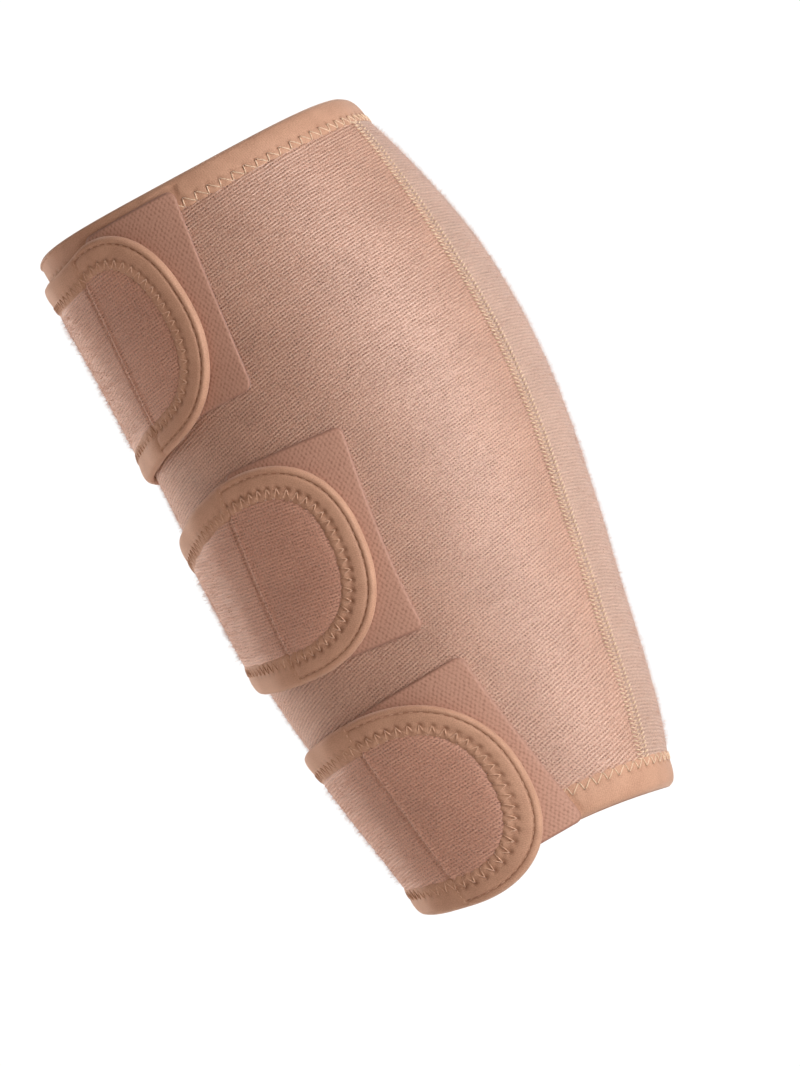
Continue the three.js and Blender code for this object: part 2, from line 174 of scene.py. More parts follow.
class Section(NamedTuple):
    """Outline of the worn form at one height, and its depth over its length."""

    z: float
    shin: float
    calf: float
    ratio: float


SECTIONS = (
    Section(z=-125.2, shin=-48.9, calf=40.4, ratio=0.87),
    Section(z=-100.5, shin=-53.2, calf=48.3, ratio=0.88),
    Section(z=-67.7, shin=-58.8, calf=55.0, ratio=0.90),
    Section(z=-34.8, shin=-62.6, calf=61.6, ratio=0.92),
    Section(z=-2.0, shin=-63.1, calf=67.3, ratio=0.94),
    Section(z=30.9, shin=-62.6, calf=69.8, ratio=0.95),
    Section(z=63.7, shin=-62.1, calf=67.7, ratio=0.95),
    Section(z=96.6, shin=-62.7, calf=60.4, ratio=0.94),
    Section(z=124.5, shin=-63.4, calf=51.2, ratio=0.93),
)


@dataclass(frozen=True)
class LegForm:
    """Outer face of the first layer of cloth as it is worn, with its rims and seam lines.

    A place on it is a turn in radians from the shin, counted towards the side that shows, and a height.
    """

    egg: float = 0.07
    top: float = 123.3
    top_draw: float = 4.2
    bottom: float = -126.0
    bottom_draw: float = 4.5
    seam_degrees: float = 143.8
    seam_bend_from: float = 55.0
    seam_bend_to: float = 112.0
    seam_bend_degrees: float = 10.0
    seam_bend_power: float = 1.6
    seam_bend_past: float = 1.2

    def column(self, z: Array, name: str) -> Array:
        """Smooth curve through one column of the table of sections.

        Args:
            z: Heights.
            name: The column's name.

        Returns:
            The column's value at each height.
        """
        heights = np.array([row.z for row in SECTIONS])
        values = np.array([getattr(row, name) for row in SECTIONS])
        order = np.arange(len(SECTIONS))
        before = np.maximum(order - 1, 0)
        after = np.minimum(order + 1, len(SECTIONS) - 1)
        slopes = (values[after] - values[before]) / (heights[after] - heights[before])
        low = np.clip(np.searchsorted(heights, z, side="right") - 1, 0, len(SECTIONS) - 2)
        step = heights[low + 1] - heights[low]
        share = (z - heights[low]) / step
        return cubic(values[low], values[low + 1], slopes[low] * step, slopes[low + 1] * step, share)

    def section(self, z: Array) -> tuple[Array, Array, Array]:
        """Measures the form at each height.

        Args:
            z: Heights.

        Returns:
            Middle, half length and half depth.
        """
        shin, calf = self.column(z, "shin"), self.column(z, "calf")
        half = (calf - shin) / 2.0
        return (calf + shin) / 2.0, half, half * self.column(z, "ratio")

    def radius(self, z: Array) -> Array:
        """Mean radius of the form at each height."""
        _, half, depth = self.section(z)
        return (half + depth) / 2.0

    def place(self, turn: Array, z: Array, offset: Array | float) -> Array:
        """Points of the form, moved outwards.

        Args:
            turn: Turns round the leg from the shin.
            z: Heights.
            offset: Distance outwards.

        Returns:
            The points in metres, with x, y and z along the last axis.
        """
        middle, half, depth = self.section(z)
        flat = (half**2 - depth**2) / (2.0 * (half**2 + depth**2))
        even = flat / 2.0 * np.sin(2.0 * turn) + self.egg / 2.0 * (np.sin(turn) + np.sin(3.0 * turn) / 3.0)
        angle = math.pi + turn + even
        along_x = -half * np.sin(angle)
        along_y = depth * (np.cos(angle) + self.egg * np.cos(2.0 * angle))
        long = np.hypot(along_x, along_y)
        x = middle + half * np.cos(angle) + offset * along_y / long
        y = depth * np.sin(angle) * (1.0 + self.egg * np.cos(angle)) - offset * along_x / long
        return np.stack(np.broadcast_arrays(x, y, z), axis=-1) * MM

    def outward(self, turn: Array, z: Array) -> Array:
        """Outward direction at each place."""
        way = self.place(turn, z, 1.0) - self.place(turn, z, 0.0)
        return way / np.linalg.norm(way, axis=-1, keepdims=True)

    def top_rim(self, turn: Array) -> Array:
        """Height of the upper rim at each turn."""
        return self.top - self.top_draw * np.sin(turn) ** 2

    def bottom_rim(self, turn: Array) -> Array:
        """Height of the lower rim at each turn."""
        return self.bottom + self.bottom_draw * np.sin(turn) ** 2

    def seam(self, z: Array) -> Array:
        """Finds the flat seam on the side that shows. The hidden one is its mirror image.

        Args:
            z: Heights.

        Returns:
            Turn of the seam at each height.
        """
        span = self.seam_bend_to - self.seam_bend_from
        share = np.clip((z - self.seam_bend_from) / span, 0.0, self.seam_bend_past)
        return np.radians(self.seam_degrees + self.seam_bend_degrees * share**self.seam_bend_power)


FORM = LegForm()


@dataclass(frozen=True)
class ClothStack:
    """Thickness of the layers, and where the tab panel climbs onto the shin panel."""

    panel: float = 2.8
    tab: float = 2.3
    patch: float = 0.9
    clearance: float = 0.3
    layer_gap: float = 0.4
    climb_from: float = math.radians(-78.0)
    climb_to: float = math.radians(-64.0)

    def climb(self, turn: Array) -> Array:
        """Share of the way up from the first layer to the second."""
        return ease(turn, self.climb_from, self.climb_to)

    def outer(self, turn: Array) -> Array:
        """Height of the outer face of the tab panel before it climbs its hook patches."""
        return self.climb(turn) * (self.layer_gap + self.tab)

    def thickness(self, turn: Array) -> Array:
        """Thickness of the tab panel."""
        return mix(self.panel, self.tab, self.climb(turn))


STACK = ClothStack()

# Where the shin panel ends under the tabs, and where the tabs start, round the leg from the shin.
SHIN_PANEL_END = math.radians(-57.0)
ROOT_S = -27.0
# How square the tabs' round ends are, and how far their edges run on straight at the root and at the end.
ROUND_POWER = 2.3
ROOT_HANDLE = 25.0
END_HANDLE = 14.0
TAPE_WIDTH = 10.6
# Half width of a flat seam, and how the painted shade on its band, under the seam's loops, fades inside and
# outside that.
SEAM_HALF = 3.1
SEAM_FADE_IN = 0.8
SEAM_FADE_OUT = 0.2
# Ridge and groove of the stitched line across a tab, and the dent that it makes in the tape.
LINE_RIDGE = Ripple(height=0.45, away=0.6, width=0.75)
LINE_GROOVE = Ripple(height=-0.3, away=-0.8, width=0.7)
LINE_DENT = Ripple(height=-0.35, away=0.0, width=0.7)


@dataclass(frozen=True)
class Tab:
    """One tab in cloth lengths: s round the leg from the shin, z up it.

    reach and half size the round end about its middle (s, z), tilt and lean turn its axis and its cross line,
    and upper and lower are where its edges start at the root, or None at a rim. The stitched line across the
    tab runs from line_top to line_bottom. dip draws the upper edge down behind the shin. The tab climbs its
    hook patch between two shares of its run, counted back from the round end's middle.
    """

    name: str
    s: float
    z: float
    reach: float
    half: float
    tilt: float
    lean: float
    upper: float | None
    lower: float | None
    line_top: tuple[float, float]
    line_bottom: tuple[float, float]
    dip: float = 0.0
    climb_from: float = 0.4
    climb_to: float = 0.2

    @property
    def axis(self) -> Array:
        """Direction in which the tab points."""
        return np.array([math.cos(math.radians(self.tilt)), -math.sin(math.radians(self.tilt))])

    @property
    def cross(self) -> Array:
        """Direction across the tab, towards its upper edge."""
        return np.array([math.sin(math.radians(self.tilt)) + self.lean, math.cos(math.radians(self.tilt))])

    @property
    def upper_root(self) -> float:
        """Height at which the upper edge starts."""
        rim = FORM.top_rim(ROOT_S / FORM.radius(np.array(FORM.top)))
        return float(rim) if self.upper is None else self.upper

    @property
    def lower_root(self) -> float:
        """Height at which the lower edge starts."""
        rim = FORM.bottom_rim(ROOT_S / FORM.radius(np.array(FORM.bottom)))
        return float(rim) if self.lower is None else self.lower

    def edge(self, root_z: float, across: float, dip: float = 0.0, count: int = 48) -> Array:
        """Points of one long edge, from its root to the round end.

        Args:
            root_z: Height of the root.
            across: Place of the edge on the cross line.
            dip: How far the edge's first handle is drawn down.
            count: Number of points.

        Returns:
            The points, a row each.
        """
        root = np.array([ROOT_S, root_z])
        corner = np.array([self.s, self.z]) + self.cross * across
        handles = (root, root + (ROOT_HANDLE, -dip), corner - self.axis * END_HANDLE, corner)
        t = np.linspace(0.0, 1.0, count)[:, None]
        weights = ((1 - t) ** 3, 3 * t * (1 - t) ** 2, 3 * t**2 * (1 - t), t**3)
        return sum(weight * handle for weight, handle in zip(weights, handles))

    def outline(self, count: int = 160) -> Array:
        """Draws the tab's edge, from its upper root round its end to its lower root.

        Args:
            count: Number of points on the round end, with its two corners.

        Returns:
            The points, a row each.
        """
        angle = np.linspace(math.pi / 2.0, -math.pi / 2.0, count)[1:-1, None]
        along = np.cos(angle) ** (2.0 / ROUND_POWER) * self.reach
        across = np.sign(np.sin(angle)) * np.abs(np.sin(angle)) ** (2.0 / ROUND_POWER) * self.half
        round_end = np.array([self.s, self.z]) + self.axis * along + self.cross * across
        upper = self.edge(self.upper_root, self.half, self.dip)
        lower = self.edge(self.lower_root, -self.half)
        return np.concatenate([upper, round_end, lower[::-1]])

    def lift(self, s: Array, z: Array) -> Array:
        """How far the tab rides up on its hook patch.

        Args:
            s: Places round the leg.
            z: Heights.

        Returns:
            The lift at each place.
        """
        run = self.s - ROOT_S
        along = (s - self.s) * self.axis[0] + (z - self.z) * self.axis[1]
        return (STACK.patch + STACK.clearance) * ease(along, -self.climb_from * run, -self.climb_to * run)

    def line_distance(self, s: Array, z: Array) -> Array:
        """Distance past the stitched line, towards the round end.

        Args:
            s: Places round the leg.
            z: Heights.

        Returns:
            The distance of each place.
        """
        top, bottom = np.array(self.line_top), np.array(self.line_bottom)
        way = (bottom - top) / np.linalg.norm(bottom - top)
        return (z - top[1]) * way[0] - (s - top[0]) * way[1]

    def line_relief(self, s: Array, z: Array) -> Array:
        """Thin ridge along the stitched line, with a groove on the side of the root."""
        away = self.line_distance(s, z)
        return LINE_RIDGE.at(away) + LINE_GROOVE.at(away)


TABS = (
    Tab(name="top", s=41.3, z=79.9, reach=29.1, half=35.5, tilt=-10.7, lean=0.064, upper=None, lower=41.0,
        line_top=(38.0, 108.2), line_bottom=(35.0, 50.5), dip=8.0),
    Tab(name="middle", s=49.7, z=-8.8, reach=35.6, half=34.5, tilt=3.9, lean=0.084, upper=17.0, lower=-35.0,
        line_top=(50.4, 25.0), line_bottom=(39.0, -41.0)),
    Tab(name="bottom", s=41.0, z=-95.6, reach=35.3, half=35.0, tilt=9.4, lean=0.116, upper=-62.5, lower=None,
        line_top=(40.8, -62.2), line_bottom=(31.8, -127.2)),
)


def notch_line(above: Tab, below: Tab, count: int = 40) -> Array:
    """Half-round notch between two tabs, from the upper one's lower root to the lower one's upper root.

    Args:
        above: The upper tab.
        below: The lower tab.
        count: Number of points.

    Returns:
        The points, a row each.
    """
    radius = (above.lower_root - below.upper_root) / 2.0
    angle = np.linspace(math.pi / 2.0, -math.pi / 2.0, count)
    middle = np.array([ROOT_S, (above.lower_root + below.upper_root) / 2.0])
    return middle + radius * np.stack([-np.cos(angle), np.sin(angle)], axis=1)


# Meshes


class GridMesh:
    """A flat grid whose vertices are laid on a form, then trimmed, welded or capped."""

    def __init__(self, columns: int, rows: int) -> None:
        """Makes the flat grid.

        Args:
            columns: Number of cells along the first way.
            rows: Number of cells along the second way.
        """
        self.columns, self.rows = columns, rows
        self.bm = bmesh.new()
        bmesh.ops.create_grid(self.bm, x_segments=columns, y_segments=rows, size=0.5)
        self.bm.verts.ensure_lookup_table()
        flat = np.array([vert.co for vert in self.bm.verts])
        self.column = np.rint((flat[:, 0] + 0.5) * columns).astype(int)
        self.row = np.rint((flat[:, 1] + 0.5) * rows).astype(int)

    def lay(self, points: Array, uv: Array) -> None:
        """Moves each vertex to its point and keeps its place on the cloth as a UV map.

        Args:
            points: Points in metres, by column, row and axis.
            uv: Places on the cloth in metres, by column, row and axis.
        """
        layer = self.bm.loops.layers.uv.new(CLOTH_UV)
        for vert, i, j in zip(self.bm.verts, self.column, self.row):
            vert.co = points[i, j]
            for loop in vert.link_loops:
                loop[layer].uv = uv[i, j]

    def note(self, name: str, values: Array) -> None:
        """Keeps a number for each vertex.

        Args:
            name: Name of the mesh's attribute.
            values: The numbers, by column and row.
        """
        layer = self.bm.verts.layers.float.new(name)
        for vert, i, j in zip(self.bm.verts, self.column, self.row):
            vert[layer] = float(values[i, j])

    def keep(self, mask: Array) -> None:
        """Deletes the vertices outside a mask by column and row."""
        gone = [vert for vert, i, j in zip(self.bm.verts, self.column, self.row) if not mask[i, j]]
        bmesh.ops.delete(self.bm, geom=gone, context="VERTS")

    def split(self, group: Array) -> None:
        """Deletes the cells that join two groups of columns.

        Args:
            group: Number of each column's group.
        """
        groups = dict(zip(self.bm.verts, group[self.column]))
        gone = [face for face in self.bm.faces if len({groups[vert] for vert in face.verts}) > 1]
        bmesh.ops.delete(self.bm, geom=gone, context="FACES_ONLY")

    def close(self, caps: bool) -> None:
        """Welds edges that meet and turns the faces outwards.

        Args:
            caps: True to fill the open ends of a tube.
        """
        bmesh.ops.remove_doubles(self.bm, verts=self.bm.verts, dist=WELD)
        if caps:
            edges = [edge for edge in self.bm.edges if edge.is_boundary]
            bmesh.ops.holes_fill(self.bm, edges=edges, sides=0)
        bmesh.ops.recalc_face_normals(self.bm, faces=self.bm.faces)

    def piece(self, name: str, material: Material) -> Piece:
        """Turns the grid into a smooth-shaded object that rides on the support.

        Args:
            name: The object's name.
            material: Its finish.

        Returns:
            The object.
        """
        mesh = bpy.data.meshes.new(name)
        self.bm.to_mesh(mesh)
        self.bm.free()
        return dressed(name, mesh, material)


def dressed(name: str, mesh: bpy.types.Mesh, material: Material) -> Piece:
    """Object for a finished mesh, riding on the support.

    Args:
        name: The object's name.
        mesh: Its mesh.
        material: Its finish.

    Returns:
        The object.
    """
    mesh.shade_smooth()
    mesh.materials.append(material)
    piece = bpy.data.objects.new(name, mesh)
    bpy.context.scene.collection.objects.link(piece)
    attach(piece, BODY)
    log.info("%s: %d faces", name, len(mesh.polygons))
    return piece


def thicken(piece: Piece, thickness: float) -> None:
    """Gives a laid face of cloth its thickness, inwards.

    Args:
        piece: The object.
        thickness: Thickness in millimetres.
    """
    solid = piece.modifiers.new("thickness", "SOLIDIFY")
    solid.thickness = thickness * MM
    solid.offset = -1.0


@dataclass(frozen=True)
class Thread:
    """Sewing thread drawn as short strokes that come out of the cloth and go back in."""

    radius: float = 0.2
    rise: float = 0.3
    sink: float = 0.25
    segments: int = 6
    sides: int = 5
    blunt: int = 6

    def strokes(self, name: str, start: Array, end: Array, base: Array, material: Material) -> Piece:
        """One object that holds many strokes.

        Args:
            name: The object's name.
            start: Turn and height where each stroke comes out, a row each.
            end: Turn and height where it goes back in.
            base: Height of the cloth under each stroke, a row each with its start and end.
            material: The thread's finish.

        Returns:
            The object.
        """
        count, steps = len(start), self.segments + 1
        grid = GridMesh(count * steps - 1, self.sides)
        share = np.linspace(0.0, 1.0, steps)
        turn = mix(start[:, :1], end[:, :1], share)
        z = mix(start[:, 1:], end[:, 1:], share)
        middle_out = 2.0 * share - 1.0
        arch = 1.0 - middle_out**2
        height = mix(base[:, :1], base[:, 1:], share) - self.sink + (self.rise + self.sink) * np.sqrt(arch)
        middle = FORM.place(turn, z, height)
        up = FORM.outward(turn, z)
        ahead = np.gradient(middle, axis=1)
        side = np.cross(up, ahead)
        side /= np.linalg.norm(side, axis=-1, keepdims=True)
        wide = (self.radius * MM * (1.0 - middle_out**self.blunt) ** 0.5)[None, :, None, None]
        angle = np.linspace(0.0, FULL_TURN, self.sides + 1)[:, None]
        ring = np.cos(angle) * side[:, :, None] + np.sin(angle) * up[:, :, None]
        points = (middle[:, :, None] + wide * ring).reshape(count * steps, self.sides + 1, 3)
        along = np.repeat(share[None], count, axis=0).reshape(-1, 1)
        uv = np.stack(np.broadcast_arrays(along, np.linspace(0.0, 1.0, self.sides + 1)), axis=-1)
        grid.lay(points, uv)
        grid.split(np.arange(count * steps) // steps)
        grid.close(caps=False)
        return grid.piece(name, material)


# Finishes


def linear(code: str) -> tuple[float, float, float, float]:
    """Linear colour of an sRGB hex code."""
    parts = [int(code[i:i + 2], 16) / 255.0 for i in (0, 2, 4)]
    return (*(p / 12.92 if p <= 0.04045 else ((p + 0.055) / 1.055) ** 2.4 for p in parts), 1.0)


def add(tree: Tree, kind: str, inputs: dict[Any, Any], **settings: Any) -> Node:
    """Adds a node with its settings, values and links.

    Args:
        tree: The material's or world's nodes.
        kind: The node's type.
        inputs: Value or linked socket for each named or numbered input.
        settings: The node's own settings.

    Returns:
        The node.
    """
    node = tree.nodes.new(kind)
    for name, value in settings.items():
        setattr(node, name, value)
    for name, value in inputs.items():
        if isinstance(value, Socket):
            tree.links.new(value, node.inputs[name])
        else:
            node.inputs[name].default_value = value
    return node


def calculate(tree: Tree, operation: str, *values: Any, clamp: bool = False) -> Socket:
    """Adds a step of arithmetic.

    Args:
        tree: The material's nodes.
        operation: What is done.
        values: Values or sockets, in the order of the node's inputs.
        clamp: True to hold the result between 0 and 1.

    Returns:
        The result's socket.
    """
    inputs = dict(enumerate(values))
    return add(tree, "ShaderNodeMath", inputs, operation=operation, use_clamp=clamp).outputs[0]


def calculate_places(tree: Tree, operation: str, inputs: dict[Any, Any]) -> Socket:
    """Adds a step of arithmetic on places."""
    return add(tree, "ShaderNodeVectorMath", inputs, operation=operation).outputs[0]


def ramp(tree: Tree, value: Socket, low: float, high: float, start: float = 0.0, end: float = 1.0,
         smooth: bool = False) -> Socket:
    """Adds a ramp from one range of values to another.

    Args:
        tree: The material's nodes.
        value: Socket that drives the ramp.
        low: Value at which it starts.
        high: Value at which it ends.
        start: Result at low.
        end: Result at high.
        smooth: True to ease the ramp at both ends.

    Returns:
        The result's socket.
    """
    kind = "SMOOTHSTEP" if smooth else "LINEAR"
    inputs = {"Value": value, 1: low, 2: high, 3: start, 4: end}
    return add(tree, "ShaderNodeMapRange", inputs, interpolation_type=kind).outputs[0]


def noise(tree: Tree, place: Socket, size: float, detail: float, output: int | str = 0) -> Socket:
    """Adds noise.

    Args:
        tree: The material's nodes.
        place: Socket with places in metres.
        size: Typical size of its spots in millimetres.
        detail: How many finer layers it has.
        output: Which of its outputs is wanted.

    Returns:
        The output's socket.
    """
    inputs = {"Vector": place, "Scale": 1.0 / (size * MM), "Detail": detail}
    return add(tree, "ShaderNodeTexNoise", inputs).outputs[output]


def blend(tree: Tree, share: Socket, first: Any, second: Any) -> Socket:
    """Adds a mix of two colours."""
    inputs = {"Factor": share, "A": first, "B": second}
    return add(tree, "ShaderNodeMix", inputs, data_type="RGBA").outputs["Result"]


def relief_normal(tree: Tree, height: Socket, relief: float, strength: float) -> Socket:
    """Adds the fine relief of a surface, in millimetres."""
    inputs = {"Height": height, "Distance": relief * MM, "Strength": strength}
    return add(tree, "ShaderNodeBump", inputs).outputs[0]


def cloth_place(tree: Tree) -> Socket:
    """Adds the place on the cloth, from the piece's UV map."""
    return add(tree, "ShaderNodeUVMap", {}, uv_map=CLOTH_UV).outputs[0]


def noted(tree: Tree, name: str) -> Socket:
    """Adds a number that the piece keeps for each vertex."""
    return add(tree, "ShaderNodeAttribute", {}, attribute_name=name).outputs["Fac"]


def new_material(name: str) -> tuple[Material, Tree]:
    """Makes an empty material.

    Args:
        name: The material's name.

    Returns:
        The material and its nodes.
    """
    material = bpy.data.materials.new(name)
    material.use_nodes = True
    material.node_tree.nodes.clear()
    return material, material.node_tree


@dataclass(frozen=True)
class Gloss:
    """How a finish takes the light: its roughness, gloss and sheen."""

    roughness: float
    specular: float
    sheen: float
    sheen_roughness: float
    sheen_tint: str | None = None
    ior: float = 1.5

    def shade(self, tree: Tree, colour: Socket, normal: Socket | None = None) -> None:
        """Adds the shader and the material's output.

        Args:
            tree: The material's nodes.
            colour: Socket with the colour.
            normal: Socket with the fine relief, if there is one.
        """
        inputs = {"Base Color": colour, "Roughness": self.roughness, "IOR": self.ior,
                  "Specular IOR Level": self.specular, "Sheen Weight": self.sheen,
                  "Sheen Roughness": self.sheen_roughness}
        if normal is not None:
            inputs["Normal"] = normal
        if self.sheen_tint is not None:
            inputs["Sheen Tint"] = linear(self.sheen_tint)
        shader = add(tree, "ShaderNodeBsdfPrincipled", inputs)
        add(tree, "ShaderNodeOutputMaterial", {"Surface": shader.outputs[0]})


@dataclass(frozen=True)
class KnitNeoprene:
    """Foam neoprene faced with a fine loop knit: uneven rows of pale stitches, with dark pin holes.

    pitch is the distance from row to row and from stitch to stitch. The sizes are those of the patterns that
    bend the rows, wear the stitches, fluff them up and cloud the colour. seam_shade darkens the knit under
    the
    loops of a flat seam: painted shade.
    """

    name: str
    contrast: float = 0.88
    light: str = "E8C4B0"
    middle: str = "C9967E"
    dark: str = "704026"
    pitch: float = 1.1
    bend: float = 0.6
    bend_size: float = 4.0
    wear_size: float = 2.2
    fluff_size: float = 0.6
    cloud_size: float = 18.0
    # Strength of the painted shade under a flat seam's loops.
    seam_shade: float = 0.2
    relief: float = 0.2
    sheen: float = 0.3
    sheen_tint: str = "F6CDB4"

    def cells(self, tree: Tree, place: Socket) -> Socket:
        """Adds the grid of stitches, one unit to a stitch, with its rows slightly bent.

        Args:
            tree: The material's nodes.
            place: Socket with the place on the cloth.

        Returns:
            Socket with the place on the grid.
        """
        drift = noise(tree, place, self.bend_size, 2.0, "Color")
        centred = calculate_places(tree, "SUBTRACT", {0: drift, 1: (0.5, 0.5, 0.5)})
        bent = calculate_places(tree, "MULTIPLY_ADD", {0: centred, 1: (self.bend * MM,) * 3, 2: place})
        return calculate_places(tree, "SCALE", {0: bent, "Scale": 1.0 / (self.pitch * MM)})

    def material(self) -> Material:
        """Builds the material.

        Returns:
            The material.
        """
        material, tree = new_material(self.name)
        place = cloth_place(tree)
        cells = self.cells(tree, place)
        phase = calculate_places(tree, "SCALE", {0: cells, "Scale": FULL_TURN})
        parts = add(tree, "ShaderNodeSeparateXYZ", {0: phase}).outputs
        row, wale = calculate(tree, "COSINE", parts["Y"]), calculate(tree, "COSINE", parts["X"])
        stitch = calculate_places(tree, "FLOOR", {0: cells})
        chance = add(tree, "ShaderNodeTexWhiteNoise", {"Vector": stitch}, noise_dimensions="2D")
        chances = add(tree, "ShaderNodeSeparateColor", {0: chance.outputs["Color"]}).outputs
        kept = ramp(tree, noise(tree, place, self.wear_size, 3.0), 0.3, 0.7, 0.45, 1.0)
        fluff = noise(tree, place, self.fluff_size, 2.0)
        gap, pin = ramp(tree, row, -0.1, 0.95, smooth=True), ramp(tree, wale, -0.75, 0.6)
        hole = calculate(tree, "MULTIPLY", gap, pin)
        pricked = calculate(tree, "MULTIPLY", hole, ramp(tree, chances[1], 0.0, 1.0, 0.3, 1.35))
        deep = calculate(tree, "MULTIPLY", pricked, kept)
        ridge = ramp(tree, row, 0.0, -1.0, smooth=True)
        loop = calculate(tree, "MULTIPLY", ridge, ramp(tree, chances[0], 0.0, 1.0, 0.15, 1.25))
        high = calculate(tree, "MULTIPLY", loop, kept)
        cloud = ramp(tree, noise(tree, place, self.cloud_size, 4.0), 0.3, 0.7, -0.05, 0.14)
        mottle = calculate(tree, "ADD", cloud, ramp(tree, fluff, 0.5, 0.3, 0.0, 0.42))
        # Painted shade on the knit under a flat seam's loops, added to the random mottling.
        shade = calculate(tree, "MULTIPLY_ADD", noted(tree, "painted_seam_shade"), self.seam_shade, mottle)
        dark = calculate(tree, "MULTIPLY_ADD", deep, 0.9 * self.contrast, shade, clamp=True)
        speck = ramp(tree, fluff, 0.42, 0.72, 0.0, 0.75)
        light = calculate(tree, "MULTIPLY_ADD", high, 0.95 * self.contrast, speck, clamp=True)
        ground = blend(tree, light, linear(self.middle), linear(self.light))
        colour = blend(tree, dark, ground, linear(self.dark))
        level = calculate(tree, "SUBTRACT", high, deep)
        height = calculate(tree, "MULTIPLY_ADD", fluff, 0.5, level)
        normal = relief_normal(tree, height, self.relief, 0.25 + 0.6 * self.contrast)
        gloss = Gloss(roughness=0.58, specular=0.95, sheen=self.sheen, sheen_roughness=0.4,
                      sheen_tint=self.sheen_tint, ior=1.7)
        gloss.shade(tree, colour, normal)
        return material


@dataclass(frozen=True)
class BindingTape:
    """Stretch tape of fine brushed yarn, folded over the edge: yellower than the knit, with a fine grain and
    painted shade in its dents and groove.
    """

    name: str = "folded_stretch_tape"
    light: str = "D3A68B"
    dark: str = "9B6D54"
    rib_pitch: float = 0.7
    rib_share: float = 0.2
    grain_size: float = 0.45
    cloud_size: float = 7.0
    relief: float = 0.1
    gloss: Gloss = Gloss(roughness=0.7, specular=0.6, sheen=0.5, sheen_roughness=0.45, sheen_tint="FFEADB")

    def material(self) -> Material:
        """Builds the material.

        Returns:
            The material.
        """
        material, tree = new_material(self.name)
        place = cloth_place(tree)
        along = add(tree, "ShaderNodeSeparateXYZ", {0: place}).outputs["X"]
        rib = calculate(tree, "SINE", calculate(tree, "MULTIPLY", along, FULL_TURN / (self.rib_pitch * MM)))
        grain = noise(tree, place, self.grain_size, 3.0)
        level = calculate(tree, "MULTIPLY_ADD", rib, self.rib_share, grain)
        cloud = ramp(tree, noise(tree, place, self.cloud_size, 5.0), 0.3, 0.75, -0.05, 0.25)
        total = calculate(tree, "ADD", cloud, ramp(tree, grain, 0.35, 0.7, -0.1, 0.4))
        # Painted shade in the stitch dents, the groove and the valley, added to the real mottling and grain.
        deep = calculate(tree, "ADD", total, noted(tree, "stitched"), clamp=True)
        colour = blend(tree, deep, linear(self.light), linear(self.dark))
        self.gloss.shade(tree, colour, relief_normal(tree, level, self.relief, 0.7))
        return material


@dataclass(frozen=True)
class HookTape:
    """Hook tape seen from its back: a faint slanted net of pale knots, and a darker rim that is painted shade
    on its rounded edge.
    """

    name: str = "hook_tape_ground"
    light: str = "CC9F8B"
    dark: str = "A47563"
    net_pitch: float = 1.3
    net_degrees: tuple[float, float] = (-50.0, 64.0)
    bend: float = 0.8
    bend_size: float = 2.5
    uneven_size: float = 0.9
    painted_rim_shade: float = 0.8
    relief: float = 0.1
    gloss: Gloss = Gloss(roughness=0.6, specular=0.6, sheen=0.3, sheen_roughness=0.45)

    def net(self, tree: Tree, place: Socket) -> Socket:
        """Adds two crossed sets of waves, slightly bent.

        Args:
            tree: The material's nodes.
            place: Socket with the place on the tape.

        Returns:
            Socket with the height of the net.
        """
        drift = noise(tree, place, self.bend_size, 2.0, "Color")
        bent = calculate_places(tree, "MULTIPLY_ADD", {0: drift, 1: (self.bend * MM,) * 3, 2: place})
        waves = []
        for degrees in self.net_degrees:
            inputs = {"Vector": bent, "Angle": math.radians(degrees)}
            turned = add(tree, "ShaderNodeVectorRotate", inputs, rotation_type="Z_AXIS").outputs[0]
            across = add(tree, "ShaderNodeSeparateXYZ", {0: turned}).outputs["Y"]
            angle = calculate(tree, "MULTIPLY", across, FULL_TURN / (self.net_pitch * MM))
            waves.append(calculate(tree, "SINE", angle))
        return calculate(tree, "ADD", *waves)

    def material(self) -> Material:
        """Builds the material.

        Returns:
            The material.
        """
        material, tree = new_material(self.name)
        place = cloth_place(tree)
        gap = ramp(tree, self.net(tree, place), 0.9, -1.2, 0.0, 0.75)
        uneven = ramp(tree, noise(tree, place, self.uneven_size, 3.0), 0.35, 0.65, 0.1, 1.2)
        deep = calculate(tree, "MULTIPLY", gap, uneven)
        # Painted shade on the patch's rounded rim, which dims the light that the edge catches.
        inputs = {"Factor": noted(tree, "rim"), "A": deep, "B": self.painted_rim_shade}
        share = add(tree, "ShaderNodeMix", inputs).outputs["Result"]
        colour = blend(tree, share, linear(self.light), linear(self.dark))
        level = calculate(tree, "SUBTRACT", 1.0, share)
        self.gloss.shade(tree, colour, relief_normal(tree, level, self.relief, 0.6))
        return material


@dataclass(frozen=True)
class SewingThread:
    """Twisted polyester thread: a little glossier than the cloth, with a fine slanted twist."""

    name: str
    light: str
    dark: str
    turns: float = 4.0
    gloss: Gloss = Gloss(roughness=0.55, specular=0.4, sheen=0.5, sheen_roughness=0.3)

    def material(self) -> Material:
        """Builds the material.

        Returns:
            The material.
        """
        material, tree = new_material(self.name)
        parts = add(tree, "ShaderNodeSeparateXYZ", {0: cloth_place(tree)}).outputs
        twist = calculate(tree, "MULTIPLY_ADD", parts["X"], self.turns, parts["Y"])
        wave = calculate(tree, "SINE", calculate(tree, "MULTIPLY", twist, FULL_TURN))
        share = ramp(tree, wave, -1.0, 1.0, 0.0, 0.6)
        self.gloss.shade(tree, blend(tree, share, linear(self.light), linear(self.dark)))
        return material


